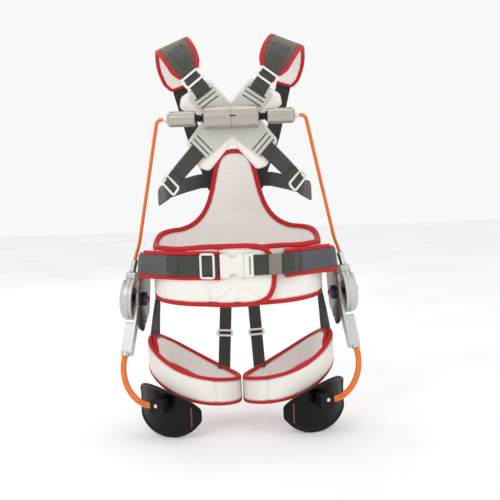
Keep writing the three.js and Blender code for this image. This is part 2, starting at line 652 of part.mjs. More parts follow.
// ---- leg arm: link, tube, clamp ----
const swing = new THREE.Matrix4().makeRotationX(-LINK_SWING * DEG);
const LINK_OUT = -H - LINK_CLEAR;
const LINK_IN = LINK_OUT - 5;
const linkEye = new THREE.Shape()
  .absarc(0, 0, 24, 0, 2 * Math.PI);
linkEye.holes.push(new THREE.Path().absarc(0, 0, 7.2, 0, 2 * Math.PI, true));
const linkArm = roundedPolygon([
  [-LINK_WIDTH / 2, -12], [LINK_WIDTH / 2, -12],
  [LINK_WIDTH / 2 - 2, -LINK_LENGTH], [-LINK_WIDTH / 2 + 2, -LINK_LENGTH],
].map(([y, z]) => [y, z]).reverse(), 8);
const linkCap = roundedPolygon([
  [-LINK_WIDTH / 2 + 1, -R - 8], [LINK_WIDTH / 2 - 1, -R - 8],
  [LINK_WIDTH / 2 - 3, -LINK_LENGTH + 1], [-LINK_WIDTH / 2 + 3, -LINK_LENGTH + 1],
].reverse(), 7);
const eyeClear = turned([[-60, 0], [-60, 7.2], [0, 7.2], [0, 0]], 20);
const link = cut(union(
  plateAcrossX(linkEye, LINK_IN, LINK_OUT, 8),
  plateAcrossX(linkArm, LINK_IN, LINK_OUT, 3),
  plateAcrossX(linkCap, LINK_OUT - 1, LINK_OUT + LINK_DEPTH, 3),
), eyeClear);
const linkPoint = (x, y, z) => V(x, y, z).applyMatrix4(swing).applyMatrix4(hip);
const tubeStart = linkPoint(LINK_OUT + LINK_TUBE, 0, -LINK_LENGTH + 24);
const tubeOut = linkPoint(LINK_OUT + LINK_TUBE, 0, -LINK_LENGTH - 2);
const tubeLow = linkPoint(LINK_OUT + LINK_TUBE, 0, -LINK_LENGTH - 36);
tubeLow.x += 4;

// ---- thigh frame: angle from the front towards the outside, radius from the thigh's middle ----
const thighPoint = (deg, r, z) =>
  V(THIGH_X + r * Math.sin(deg * DEG), THIGH_Y - r * Math.cos(deg * DEG), z);
const CLAMP_ANGLE = 29;
const CLAMP_RADIUS = PAD_RADIUS + PAD_THICK / 2 + 21;
const CLAMP_Z = PAD_MID_Z + 13;
const clampCentre = thighPoint(CLAMP_ANGLE, CLAMP_RADIUS, CLAMP_Z);
const clampOut = V(Math.sin(CLAMP_ANGLE * DEG), -Math.cos(CLAMP_ANGLE * DEG), 0);
const clampAcross = V(Math.cos(CLAMP_ANGLE * DEG), Math.sin(CLAMP_ANGLE * DEG), 0);
const tubeEntry = clampCentre.clone().addScaledVector(clampAcross, 26);
const tubeEnd = clampCentre.clone().addScaledVector(clampAcross, -2);
const tubeCurve = new THREE.CubicBezierCurve3(
  tubeOut, tubeOut.clone().lerp(tubeLow, 1.5), tubeEntry.clone().addScaledVector(clampAcross, 42), tubeEntry);
const tubePath = [tubeStart, ...tubeCurve.getPoints(12), tubeEnd];
const onLinkAxis = (z) => linkPoint(LINK_OUT + LINK_TUBE, 0, -LINK_LENGTH + z);
const linkSocket = bar([onLinkAxis(24.5), onLinkAxis(-30)],
  LEG_TUBE_RADIUS + GAP, 12);
const collar = bar([onLinkAxis(34), onLinkAxis(-3)],
  LEG_TUBE_RADIUS + 3, 16);
addPair('leg_link', cut(union(atHip(link.applyMatrix4(swing)), collar), linkSocket), CASE_PAINT);
addPair('leg_tube', bar(tubePath, LEG_TUBE_RADIUS, 12), ORANGE);

// clamp block in its own frame: x across, -y out, z up
const clampFrame = new THREE.Matrix4().makeBasis(clampAcross, clampOut.clone().negate(), V(0, 0, 1))
  .setPosition(clampCentre);
const PIVOT_IN = 14;
const clampBody = roundedPolygon([[-14, -15], [18, -15], [18, 15], [-14, 15]], 5);
const clampBlock = union(
  plateAcrossY(clampBody, -9.5, 9.5, 3),
  box(-9, 11, 0, 4, 9, 12),
  box(9, 11, 0, 4, 9, 12),
);
const clampBore = bar([V(-3, 0, 0), V(30, 0, 0)], LEG_TUBE_RADIUS + GAP, 12);
addPair('pad_clamp', strip(cut(clampBlock, clampBore).applyMatrix4(clampFrame)), BLACK_BLOCK);

// ---- thigh pads: curved shells with a raised rim and a pivot lug ----
{
  const f = (side) => (u, v) => {
    const q = 2 * u - 1;
    const deg = PAD_CENTRE + PAD_HALF_ANGLE * q;
    const w = 2 * v - 1;
    const half = PAD_HALF_HEIGHT * (q > 0 ? 1 - 0.26 * q ** 2.6 : Math.max(0.07, 1 - q * q) ** 0.5);
    const mid = PAD_MID_Z - 8 + 14 * q + 11.5 * q * q;
    const flare = 3 * Math.max(0, w) ** 4 + 3 * Math.max(0, -w) ** 4;
    return thighPoint(deg, PAD_RADIUS + flare + (side * PAD_THICK) / 2, mid + half * w);
  };
  const padShell = shell(14, 8, f(1), f(-1));
  const lug = union(
    box(0, 18.5, 0, 13, 9, 9),
    bar([V(-6.5, PIVOT_IN, 0), V(6.5, PIVOT_IN, 0)], 4.4, 14),
  );
  const lugPlaced = strip(lug.applyMatrix4(clampFrame));
  addPair('thigh_pad', union(padShell, lugPlaced), BLACK_SHELL);
}

// ---- thigh loops: padded rings, open inside, high at the outer hip ----
const loopPoint = (deg, off, v) => {
  const t = deg * DEG;
  const x = THIGH_X + (LOOP_RADIUS_X + off) * Math.cos(t);
  const y = THIGH_Y + (LOOP_RADIUS_Y + off) * Math.sin(t);
  const top = LOOP_TOP + 45 * Math.cos(t) + 4 * Math.sin(t) + 7 * Math.cos(2 * t) + 6 * Math.sin(2 * t);
  const tall = LOOP_HEIGHT + 4 * Math.cos(t);
  return V(x, y, top - tall * (1 - v));
};
{
  const steps = 30;
  const rings = [];
  const section = [];
  for (const [o, v] of [
    [0.5, 0.06], [0.5, 0.94], [0.18, 1], [-0.18, 1], [-0.5, 0.94], [-0.5, 0.06], [-0.18, 0], [0.18, 0],
  ]) {
    section.push([o * LOOP_PAD, v]);
  }
  for (let i = 0; i < steps; i++) {
    rings.push(section.map(([o, v]) => loopPoint((i / steps) * 360, o, v)));
  }
  const faces = [];
  const k = section.length;
  for (let i = 0; i < steps; i++) {
    for (let j = 0; j < k; j++) {
      const a = i * k + j;
      const b = i * k + ((j + 1) % k);
      const c = ((i + 1) % steps) * k + ((j + 1) % k);
      const d = ((i + 1) % steps) * k + j;
      faces.push([a, b, c], [a, c, d]);
    }
  }
  addPair('leg_loop', outward(fromFaces(rings.flat(), faces)), WHITE_FABRIC);
}

// ---- straps between belt and loops ----
const sideTop = beltPoint(94, 0, BELT_BOTTOM - GAP - 1.6);
const loopOuter = loopPoint(22, 0, 1);
loopOuter.z += GAP + 1.6;
addPair('leg_side_strap', strap([
  { p: sideTop, n: V(1, -0.4, 0) },
  { p: sideTop.clone().lerp(loopOuter, 0.5), n: V(1, -0.8, 0) },
  { p: loopOuter, n: V(0.6, -1, 0) },
], LEG_STRAP_WIDTH, STRAP_THICK), WEBBING);
const rearTop = beltPoint(173.8, 0, beltLow(173.8) - GAP - 0.8);
const loopRear = loopPoint(130, 0, 1);
loopRear.z += GAP + 2.4;
const rearOut = V(0, 1, 0);
addPair('leg_rear_strap', strap([{ p: rearTop, n: rearOut }, { p: loopRear, n: rearOut }],
  LEG_STRAP_WIDTH, STRAP_THICK), WEBBING);
addPair('rear_slider', placed(slider(LEG_STRAP_WIDTH, 16, 3.2), rearTop.clone().lerp(loopRear, 0.6),
  rearTop.clone().sub(loopRear), V(0, -1, 0)), WHITE_PLASTIC);

// ---- shoulder pads: arched over the shoulder ----
const shoulderCurve = new THREE.CatmullRomCurve3([
  V(SHOULDER_X - 38, CHEST_Y + 18, SHOULDER_TOP - 66),
  V(SHOULDER_X - 22, CHEST_Y + 45, SHOULDER_TOP - 30),
  V(SHOULDER_X - 3, -30, SHOULDER_TOP - 2),
  V(SHOULDER_X + 4, 22, SHOULDER_TOP - 1),
  V(SHOULDER_X + 6, 72, SHOULDER_TOP - 32),
  V(SHOULDER_X - 6, 100, SHOULDER_TOP - 82),
]);
const shoulderSlope = (t) => V(1, 0.18 * Math.cos(t * Math.PI), -0.46 + 0.1 * t).normalize();
function shoulderFrame(t) {
  const p = shoulderCurve.getPoint(t);
  const along = shoulderCurve.getTangent(t);
  const side = shoulderSlope(t);
  side.addScaledVector(along, -side.dot(along)).normalize();
  const out = along.clone().cross(side).normalize();
  if (out.z < -0.2) out.negate();
  return { p, along, side, out };
}
{
  const f = (face) => (u, v) => {
    const { p, side, out } = shoulderFrame(v);
    const end = Math.min(1, Math.min(v, 1 - v) / 0.09);
    const w = (SHOULDER_PAD_WIDTH / 2) * (0.72 + 0.28 * Math.sqrt(1 - (1 - end) ** 2));
    const q = 2 * u - 1;
    return p.clone().addScaledVector(side, q * w)
      .addScaledVector(out, (face * SHOULDER_PAD_THICK * (1 - 0.5 * q ** 6)) / 2);
  };
  addPair('shoulder_pad', shell(6, 20, f(1), f(-1)), OLIVE_FABRIC);
}

// strap down the front of the pad to the plate's upper slot
const strapLift = SHOULDER_PAD_THICK / 2 + GAP + STRAP_THICK / 2 + 0.3;
const plateFront = CHEST_Y - PLATE_THICK;
const upperSlot = V(53, plateFront - GAP - STRAP_THICK / 2 - 0.6, CHEST_Z + 51);
const upperTip = V(59, plateFront - GAP - STRAP_THICK / 2 - 0.8, CHEST_Z + 62);
const stationOnPad = (t) => {
  const { p, out } = shoulderFrame(t);
  return { p: p.clone().addScaledVector(out, strapLift), n: out };
};
const padEnd = stationOnPad(0);
const front = V(0.1, -1, 0.15).normalize();
addPair('shoulder_strap', strap([
  ...[0.4, 0.36, 0.32, 0.28, 0.24, 0.2, 0.16, 0.12, 0.08, 0.04].map(stationOnPad), padEnd,
  { p: upperTip, n: front }, { p: upperSlot, n: front },
], STRAP_WIDTH, STRAP_THICK), WEBBING);
const sliderSpot = padEnd.p.clone().lerp(upperTip, 0.42);
addPair('shoulder_slider', placed(slider(STRAP_WIDTH, 26, 4, 0.55), sliderSpot,
  padEnd.p.clone().sub(upperTip), front.clone().lerp(padEnd.n, 0.5)), WHITE_PLASTIC);

// ---- straps behind: from the pad's rear end to the back of the back pad ----
const backFace = (x, z) =>
  beltPoint(180, 0, 0).y - 26 * (x / BELT_HALF_WIDTH) ** 2 + BACK_LEAN * (z - BACK_SPLIT)
  + BELT_PAD / 2 + GAP + STRAP_THICK / 2 + 2;
const backN = V(0, 1, 0.1);
const rearPad = stationOnPad(0.9);
const rearPadEnd = stationOnPad(1);
const joinZ = 244;
addPair('back_strap', strap([
  rearPad, rearPadEnd,
  { p: V(88, backFace(40, 320) + 1, 335), n: backN },
  { p: V(61, backFace(46, 268), 268), n: backN },
  { p: V(46, backFace(44, joinZ - 20), joinZ - 20), n: backN },
], STRAP_WIDTH, STRAP_THICK), DARK_WEBBING);

// side strap: from the plate's lower slot round the ribs to the back pad
const lowerSlot = V(68, plateFront - GAP - STRAP_THICK / 2 - 0.6, CHEST_Z - 61);
const lowerTip = V(77, plateFront - GAP - STRAP_THICK / 2 - 0.8, CHEST_Z - 70);
const rib1 = V(108, CHEST_Y + 16, CHEST_Z - 102);
const rib1N = V(0.45, -0.9, 0);
const rib2N = V(0.6, -0.8, 0);
const rib2 = V(140, CHEST_Y + 40, BACK_TOP - 84);
const ribTurn = V(160, CHEST_Y + 84, BACK_TOP - 98);
const rib3 = V(162, 30, BACK_TOP - 92);
const rib4 = V(118, 104, BACK_TOP - 80);
addPair('side_strap', strap([
  { p: lowerSlot, n: V(0, -1, 0) },
  { p: lowerTip, n: V(0.2, -1, 0) },
  { p: rib1, n: rib1N },
  { p: rib2, n: rib2N },
  { p: ribTurn, n: V(1, -0.4, 0) },
  { p: rib3, n: V(1, 0.2, 0) },
  { p: rib4, n: V(0.6, 0.8, 0) },
  { p: V(80, backFace(20, 240) + STRAP_THICK + 4.4, 240), n: backN },
  { p: V(18, backFace(20, 240) + STRAP_THICK + 4.4, 240), n: backN },
], STRAP_WIDTH, STRAP_THICK), WEBBING);
addPair('side_slider', placed(slider(STRAP_WIDTH, 26, 4, 0.55), rib1.clone().lerp(rib2, 0.62),
  rib1.clone().sub(rib2), rib1N.clone().normalize().lerp(rib2N.clone().normalize(), 0.62)), WHITE_PLASTIC);

export default group;
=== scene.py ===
"""The looks of a wearable lifting support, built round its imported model. Metres, +Z up, front is -Y."""

import json
import math

import bmesh
import bpy
import numpy as np
from mathutils import Matrix, Vector, geometry


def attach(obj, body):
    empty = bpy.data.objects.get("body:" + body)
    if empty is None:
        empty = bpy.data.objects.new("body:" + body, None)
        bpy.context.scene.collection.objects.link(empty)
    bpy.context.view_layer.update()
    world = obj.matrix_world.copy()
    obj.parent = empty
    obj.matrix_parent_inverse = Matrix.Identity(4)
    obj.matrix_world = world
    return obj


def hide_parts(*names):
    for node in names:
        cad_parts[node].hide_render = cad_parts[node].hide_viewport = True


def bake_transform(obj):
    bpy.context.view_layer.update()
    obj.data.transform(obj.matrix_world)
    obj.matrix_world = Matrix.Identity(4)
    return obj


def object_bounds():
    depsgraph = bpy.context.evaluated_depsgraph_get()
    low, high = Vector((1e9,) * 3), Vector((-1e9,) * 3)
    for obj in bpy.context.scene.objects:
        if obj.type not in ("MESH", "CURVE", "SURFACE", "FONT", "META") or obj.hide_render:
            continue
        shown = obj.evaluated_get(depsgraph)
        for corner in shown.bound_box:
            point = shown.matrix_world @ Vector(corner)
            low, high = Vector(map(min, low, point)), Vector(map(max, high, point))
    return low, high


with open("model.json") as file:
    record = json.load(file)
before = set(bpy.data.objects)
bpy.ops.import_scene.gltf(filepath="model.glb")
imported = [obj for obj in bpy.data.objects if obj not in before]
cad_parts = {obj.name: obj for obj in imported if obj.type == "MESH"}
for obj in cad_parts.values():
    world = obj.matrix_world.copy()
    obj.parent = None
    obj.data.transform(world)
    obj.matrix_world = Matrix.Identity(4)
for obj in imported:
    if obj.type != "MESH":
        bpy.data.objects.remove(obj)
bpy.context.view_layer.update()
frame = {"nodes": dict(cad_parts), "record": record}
MM = 0.001
DEG = math.pi / 180

# ---------------------------------------------------------------- camera
LOOK = Vector((0.0276, 0.0098, 0.0929))
DISTANCE = 2.2
ELEVATION = 6.0
ROLL = 2.1


def make_camera():
    """A long lens from the front, a little above, tipped a little to one side."""
    fwd = Vector((0, math.cos(ELEVATION * DEG), -math.sin(ELEVATION * DEG)))
    flat = Vector((1, 0, 0))
    up = flat.cross(fwd)
    right = flat * math.cos(ROLL * DEG) - up * math.sin(ROLL * DEG)
    tall = flat * math.sin(ROLL * DEG) + up * math.cos(ROLL * DEG)
    data = bpy.data.cameras.new("camera")
    data.lens = 73.4
    data.sensor_width = 36
    data.clip_end = 50
    cam = bpy.data.objects.new("camera", data)
    m = Matrix((right, tall, -fwd)).transposed().to_4x4()
    m.translation = LOOK - fwd * DISTANCE
    cam.matrix_world = m
    bpy.context.scene.collection.objects.link(cam)
    bpy.context.scene.camera = cam


make_camera()


# ---------------------------------------------------------------- materials
class Nodes:
    """A short way to build a node tree."""

    def __init__(self, name):
        self.mat = bpy.data.materials.new(name)
        self.mat.use_nodes = True
        self.tree = self.mat.node_tree
        self.shader = self.tree.nodes["Principled BSDF"]

    def add(self, kind, inputs=None, **props):
        n = self.tree.nodes.new(kind)
        for k, v in props.items():
            setattr(n, k, v)
        for k, v in (inputs or {}).items():
            self.put(n.inputs[k], v)
        return n

    def put(self, socket, value):
        if isinstance(value, bpy.types.NodeSocket):
            self.tree.links.new(value, socket)
        else:
            socket.default_value = value

    def set(self, **values):
        for k, v in values.items():
            self.put(self.shader.inputs[k.replace("_", " ")], v)

    def ramp(self, fac, *stops):
        n = self.add("ShaderNodeValToRGB", {"Fac": fac})
        e = n.color_ramp.elements
        while len(e) < len(stops):
            e.new(0.5)
        for el, (p, c) in zip(e, stops):
            el.position = p
            el.color = (*c, 1) if len(c) == 3 else c
        return n.outputs["Color"]

    def mix(self, a, b, fac):
        n = self.add("ShaderNodeMix", data_type="RGBA")
        self.put(n.inputs[0], fac)
        self.put(n.inputs[6], a)
        self.put(n.inputs[7], b)
        return n.outputs[2]

    def math(self, op, a, b=0.0):
        n = self.add("ShaderNodeMath", operation=op)
        self.put(n.inputs[0], a)
        self.put(n.inputs[1], b)
        return n.outputs[0]

    def coord(self, which="Object"):
        return self.add("ShaderNodeTexCoord").outputs[which]

    def scaled(self, vector, scale):
        n = self.add("ShaderNodeMapping", {"Vector": vector, "Scale": scale})
        return n.outputs[0]

    def noise(self, vector, scale, detail=3.0, rough=0.55):
        n = self.add("ShaderNodeTexNoise", {"Vector": vector, "Scale": scale, "Detail": detail,
                                            "Roughness": rough})
        return n.outputs["Fac"]

    def bump(self, height, distance, strength=1.0, under=None):
        n = self.add("ShaderNodeBump", {"Height": height, "Distance": distance, "Strength": strength})
        if under:
            self.put(n.inputs["Normal"], under)
        return n.outputs["Normal"]


def rgb(h):
    """A screen colour as the linear values the shader works in."""
    parts = [int(h[i : i + 2], 16) / 255 for i in (0, 2, 4)]
    return tuple(c / 12.92 if c <= 0.04045 else ((c + 0.055) / 1.055) ** 2.4 for c in parts)


def shade(c, k):
    """A colour made darker or lighter."""
    return tuple(min(1, x * k) for x in c)


def fabric(name, colour, weave=0.0011, depth=0.00025, rough=0.85, sheen=0.25, soil=0.93):
    """Woven cover: crossed threads and broad, faint colour changes."""
    n = Nodes(name)
    co = n.coord()
    waves = []
    for axis in ("X", "Y", "Z"):
        w = n.add("ShaderNodeTexWave", {"Vector": co, "Scale": 1 / (weave * 20) * 3.14, "Distortion": 1.2,
                                        "Detail": 1.0, "Detail Scale": 2.0}, bands_direction=axis)
        waves.append(w.outputs["Fac"])
    thread = n.math("MULTIPLY", n.math("ADD", waves[0], waves[1]), waves[2])
    fuzz = n.noise(co, 900, 3)
    broad = n.noise(co, 14, 3, 0.6)
    base = n.mix((*shade(colour, soil), 1), (*colour, 1), broad)
    base = n.mix((*shade(colour, soil * 0.94), 1), base, n.ramp(thread, (0.1, (0, 0, 0)), (0.6, (1, 1, 1))))
    n.set(Base_Color=base, Roughness=rough, Sheen_Weight=sheen, Sheen_Roughness=0.5)
    low = n.bump(broad, 0.004, 0.25)
    n.set(Normal=n.bump(n.math("ADD", thread, fuzz), depth, 0.7, low))
    return n.mat


def webbing(name, colour, pitch=0.0016):
    """Strap weave by its own length and width: chevron ribs, a flatter selvedge and worn high spots."""
    n = Nodes(name)
    uv = n.coord("UV")
    sep = n.add("ShaderNodeSeparateXYZ", {"Vector": uv})
    u, v = sep.outputs["X"], sep.outputs["Y"]
    zig = n.math("PINGPONG", u, 0.0034)
    along = n.math("ADD", v, n.math("MULTIPLY", zig, 0.9))
    rib = n.math("SINE", n.math("MULTIPLY", along, 2 * math.pi / pitch))
    cross = n.math("SINE", n.math("MULTIPLY", u, 2 * math.pi / (pitch * 0.9)))
    height = n.math("ADD", n.math("MULTIPLY", rib, 0.6), n.math("MULTIPLY", cross, 0.4))
    broad = n.noise(n.coord(), 30, 4, 0.6)
    fleck = n.noise(n.coord(), 700, 2)
    tone = n.ramp(n.math("ADD", n.math("MULTIPLY", height, 0.3),
                         n.math("ADD", n.math("MULTIPLY", broad, 0.5), n.math("MULTIPLY", fleck, 0.4))),
                  (0.2, shade(colour, 0.62)), (0.55, colour), (0.95, shade(colour, 1.7)))
    n.set(Base_Color=tone, Roughness=0.72, Sheen_Weight=0.35, Sheen_Roughness=0.4)
    n.set(Normal=n.bump(n.math("ADD", height, fleck), 0.00035, 0.8))
    return n.mat


def plastic(name, colour, rough=0.42, grain=0.00006, coat=0.0, scale=1400, level=0.5):
    """Moulded plastic: fine grain, faint colour changes and uneven gloss."""
    n = Nodes(name)
    co = n.coord()
    broad = n.noise(co, 22, 4)
    base = n.mix((*shade(colour, 0.9), 1), (*colour, 1), broad)
    n.set(Base_Color=base, Roughness=n.ramp(n.noise(co, 60, 4), (0.3, (rough * 0.85,) * 3),
                                            (0.8, (rough * 1.2,) * 3)),
          Coat_Weight=coat, Coat_Roughness=0.2, IOR=1.48, Specular_IOR_Level=level)
    n.set(Normal=n.bump(n.noise(co, scale, 2), grain, 0.6))
    return n.mat


def metal(name, colour, rough=0.28, brush=None, wear=0.12, bump=0.00003, metallic=1.0, coat=0.0,
          spread=0.27):
    """Metal or metallic paint. brush = the object scale of fine lines, long along the small axis."""
    n = Nodes(name)
    co = n.coord()
    lines = n.noise(n.scaled(co, brush or (300, 300, 300)), 1.0, 4, 0.7)
    broad = n.noise(co, 18, 4)
    tone = n.math("ADD", n.math("MULTIPLY", lines, 0.6), n.math("MULTIPLY", broad, 0.4))
    base = n.ramp(tone, (0.3, shade(colour, 1 - wear)), (0.7, shade(colour, 1 + wear)))
    n.set(Base_Color=base, Metallic=metallic,
          Roughness=n.ramp(lines, (0.3, (rough * (1 - spread),) * 3), (0.75, (rough * (1 + spread),) * 3)),
          Coat_Weight=coat, Coat_Roughness=0.12)
    n.set(Normal=n.bump(lines, bump, 0.5))
    return n.mat


WHITE = fabric("white_cover", rgb("f6f3ec"), sheen=0.1, soil=0.96)
LINING = fabric("brushed_lining", rgb("f1ede8"), depth=0.00012, sheen=0.1, soil=0.97)
OLIVE = fabric("olive_cover", rgb("5f5442"), weave=0.0009, depth=0.0002, soil=0.8)
RED = fabric("red_piping", rgb("c60610"), weave=0.0009, depth=0.00012, rough=0.7, sheen=0.02, soil=0.85)
THREAD = plastic("pale_thread", rgb("cfc9c0"), 0.6)
DARK_THREAD = plastic("dark_thread", rgb("26251f"), 0.6)
DARK_RED_THREAD = plastic("dark_red_thread", rgb("8c0c14"), 0.6)
WEB = webbing("grey_webbing", rgb("3d3d38"))
BELT_WEB = webbing("belt_webbing_light", rgb("54565a"))
DARK_WEB = webbing("dark_webbing", rgb("232322"))
PATCH = webbing("pale_webbing", rgb("8f8880"))
MOULDED = plastic("white_moulded", rgb("ece9e3"), 0.38, coat=0.15)
PLATE = metal("satin_plate", rgb("c9c9c2"), 0.42, (40, 40, 900), wear=0.04, metallic=0.6, bump=0.00001)
STEEL = metal("brushed_steel", rgb("b6b2a8"), 0.32, (500, 30, 30), wear=0.015, bump=0.000002, spread=0.06)
CUSHION = fabric("pale_cushion", rgb("f6efea"), sheen=0.1, soil=0.97)
BRIGHT = metal("bright_steel", rgb("dcdad5"), 0.18)
BLACKENED = metal("blackened_steel", rgb("2c2a28"), 0.35, metallic=0.8)
ORANGE = metal("orange_paint", rgb("e06c04"), 0.36, metallic=0.1, wear=0.05, coat=0.15)
CASE = metal("grey_casing", rgb("c4c6c3"), 0.38, metallic=0.45, wear=0.06)
BROWN = metal("brown_polish", rgb("7d6656"), 0.22, (60, 60, 700))
DARK_BROWN = metal("dark_brown_polish", rgb("5c463a"), 0.24, (60, 60, 700))
BRONZE = metal("bronze", rgb("8a5c36"), 0.32)
BLUE = plastic("blue_ring", rgb("12306e"), 0.3, coat=0.4)
SHELL = plastic("black_shell", rgb("080706"), 0.32, grain=0.00002, level=0.22)
BLOCK = plastic("black_block", rgb("0c0c0c"), 0.5, level=0.25)
STRIPE = plastic("brown_stripe", rgb("6b3d1c"), 0.45)
# painted shade: a grey sheet set in each slot of the chest plate
SLOT_SHADE = plastic("painted_slot_shade", rgb("6c696c"), 0.8)


# ---------------------------------------------------------------- mesh helpers
def new_object(name, verts, faces, mat, smooth=True, uvs=None):
    me = bpy.data.meshes.new(name)
    me.from_pydata([tuple(v) for v in verts], [], [tuple(int(i) for i in f) for f in faces])
    me.update()
    if uvs is not None:
        layer = me.uv_layers.new(name="UVMap")
        loops = np.zeros(len(me.loops), int)
        me.loops.foreach_get("vertex_index", loops)
        layer.data.foreach_set("uv", np.asarray(uvs, float)[loops].ravel())
    if smooth:
        me.polygons.foreach_set("use_smooth", [True] * len(me.polygons))
    me.materials.append(mat)
    o = bpy.data.objects.new(name, me)
    bpy.context.scene.collection.objects.link(o)
    return o


def face_out(o):
    """Turns every face to look outwards."""
    b = bmesh.new()
    b.from_mesh(o.data)
    bmesh.ops.recalc_face_normals(b, faces=b.faces)
    b.to_mesh(o.data)
    b.free()
    return o


def unit(v):
    v = np.asarray(v, float)
    return v / np.maximum(np.linalg.norm(v, axis=-1, keepdims=True), 1e-12)


def lengths(p):
    """The length along a path at each of its points."""
    return np.concatenate([[0], np.cumsum(np.linalg.norm(np.diff(p, axis=0), axis=1))])


def at_length(t, s, table):
    """A table of points or directions read at given lengths."""
    return np.stack([np.interp(t, s, table[:, k]) for k in range(table.shape[1])], -1)


def skin(n, sides, closed):
    """Faces between n rings of points, each with the same number of sides."""
    f = []
    for i in range(n if closed else n - 1):
        j = (i + 1) % n
        for k in range(sides):
            m = (k + 1) % sides
            f.append((i * sides + k, i * sides + m, j * sides + m, j * sides + k))
    return f


def resample(points, step, closed=False):
    p = np.asarray(points, float)
    if closed:
        p = np.vstack([p, p[:1]])
    s = lengths(p)
    n = max(2, int(round(s[-1] / step)))
    t = np.linspace(0, s[-1], n + 1)
    q = at_length(t, s, p)
    return q[:-1] if closed else q


def smooth_line(points, rounds=2, closed=False):
    """Rounds a line's corners by cutting them."""
    p = np.asarray(points, float)
    for _ in range(rounds):
        nxt = np.roll(p, -1, 0) if closed else p[1:]
        cur = p if closed else p[:-1]
        q = np.empty((2 * len(cur), p.shape[1]))
        q[0::2] = 0.75 * cur + 0.25 * nxt
        q[1::2] = 0.25 * cur + 0.75 * nxt
        p = q if closed else np.vstack([p[:1], q, p[-1:]])
    return p


def tube(name, path, radius, mat, closed=False, sides=10, flat=1.0):
    """A round bar or bead along a path in metres."""
    p = np.asarray(path, float)
    n = len(p)
    nxt = np.roll(p, -1, 0) if closed else np.vstack([p[1:], p[-1:]])
    prv = np.roll(p, 1, 0) if closed else np.vstack([p[:1], p[:-1]])
    t = unit(nxt - prv)
    side = np.cross(t[0], [0.0, 0.0, 1.0] if abs(t[0][2]) < 0.9 else [0.0, 1.0, 0.0])
    rings = []
    radius = np.broadcast_to(radius, (n,))
    for i in range(n):
        side = unit(side - t[i] * (side @ t[i]))
        up = np.cross(t[i], side)
        a = np.arange(sides) / sides * 2 * math.pi
        rings.append(p[i] + radius[i] * (np.cos(a)[:, None] * side * flat + np.sin(a)[:, None] * up))
    v = np.vstack(rings)
    f = skin(n, sides, closed)
    if not closed:
        f.append(tuple(range(sides))[::-1])
        f.append(tuple((n - 1) * sides + k for k in range(sides)))
    return face_out(new_object(name, v, f, mat))


def band(name, points, normals, width, thick, mat, step=0.004):
    """Webbing along a path: rounded edges, with its length and width as its map."""
    p = np.asarray(points, float)
    nrm = unit(normals)
    s = lengths(p)
    n = max(3, int(s[-1] / step))
    t = np.linspace(0, s[-1], n + 1)
    p = at_length(t, s, p)
    nrm = unit(at_length(t, s, nrm))
    for _ in range(3):
        p[1:-1] = 0.25 * p[:-2] + 0.5 * p[1:-1] + 0.25 * p[2:]
        nrm[1:-1] = unit(0.25 * nrm[:-2] + 0.5 * nrm[1:-1] + 0.25 * nrm[2:])
    d = unit(np.gradient(p, axis=0))
    out = unit(nrm - d * (nrm * d).sum(1, keepdims=True))
    side = np.cross(d, out)
    w = np.broadcast_to(width, (n + 1,)) if np.isscalar(width) else np.interp(t, s, width)
    prof = []
    half = 8
    for k in range(half + 1):
        q = -1 + 2 * k / half
        prof.append((q, 1.0 if abs(q) < 1 else 0.35))
    ring = prof + [(q, -h) for q, h in reversed(prof)]
    v, uv = [], []
    for i in range(n + 1):
        for q, h in ring:
            v.append(p[i] + side[i] * q * w[i] / 2 + out[i] * h * thick / 2)
            uv.append((q * w[i] / 2 + 0.5 * w[i], t[i]))
    r = len(ring)
    f = []
    for i in range(n):
        for k in range(r):
            m = (k + 1) % r
            f.append((i * r + k, i * r + m, (i + 1) * r + m, (i + 1) * r + k))
    for i in (0, n):
        for k in range(half):
            f.append((i * r + k, i * r + k + 1, i * r + r - 2 - k, i * r + r - 1 - k))
    return face_out(new_object(name, v, f, mat, uvs=uv))


def stitches(name, points, normals, mat, pitch=0.0036, radius=0.00035, lift=0.0):
    """A run of short thread stitches lying on a surface."""
    p = np.asarray(points, float)
    nrm = unit(normals)
    s = lengths(p)
    v, f = [], []
    t = 0.0
    while t + pitch * 0.7 < s[-1]:
        a = at_length(t, s, p)
        b = at_length(t + pitch * 0.68, s, p)
        up = unit(at_length(t, s, nrm))
        d = unit(b - a)
        side = np.cross(d, up)
        base = len(v)
        for q, h in ((0, 0.2), (0.3, 1), (0.7, 1), (1, 0.2)):
            c = a + (b - a) * q + up * (lift + radius * h)
            for k in range(5):
                ang = k / 5 * 2 * math.pi
                v.append(c + radius * (math.cos(ang) * side + math.sin(ang) * up))
        for i in range(3):
            for k in range(5):
                m = (k + 1) % 5
                f.append((base + i * 5 + k, base + i * 5 + m, base + (i + 1) * 5 + m,
                          base + (i + 1) * 5 + k))
        f.append(tuple(base + k for k in range(5))[::-1])
        f.append(tuple(base + 15 + k for k in range(5)))
        t += pitch
    return new_object(name, v, f, mat)


def poly_distance(pts, line, closed):
    """The least distance of each 2-D point from a line."""
    a = np.asarray(line, float)
    b = np.roll(a, -1, 0) if closed else a[1:]
    a = a if closed else a[:-1]
    best = np.full(len(pts), 1e9)
    for i in range(len(a)):
        d = b[i] - a[i]
        t = np.clip(((pts - a[i]) @ d) / max(d @ d, 1e-18), 0, 1)
        best = np.minimum(best, np.linalg.norm(pts - a[i] - t[:, None] * d, axis=1))
    return best


def inside(pts, poly):
    """Which 2-D points lie inside a closed line."""
    x, y = pts[:, 0], pts[:, 1]
    hit = np.zeros(len(pts), bool)
    a = np.asarray(poly)
    b = np.roll(a, -1, 0)
    for (x0, y0), (x1, y1) in zip(a, b):
        cross = (y0 > y) != (y1 > y)
        with np.errstate(divide="ignore", invalid="ignore"):
            xi = (x1 - x0) * (y - y0) / (y1 - y0 if y1 != y0 else 1e-18) + x0
        hit ^= cross & (x < xi)
    return hit


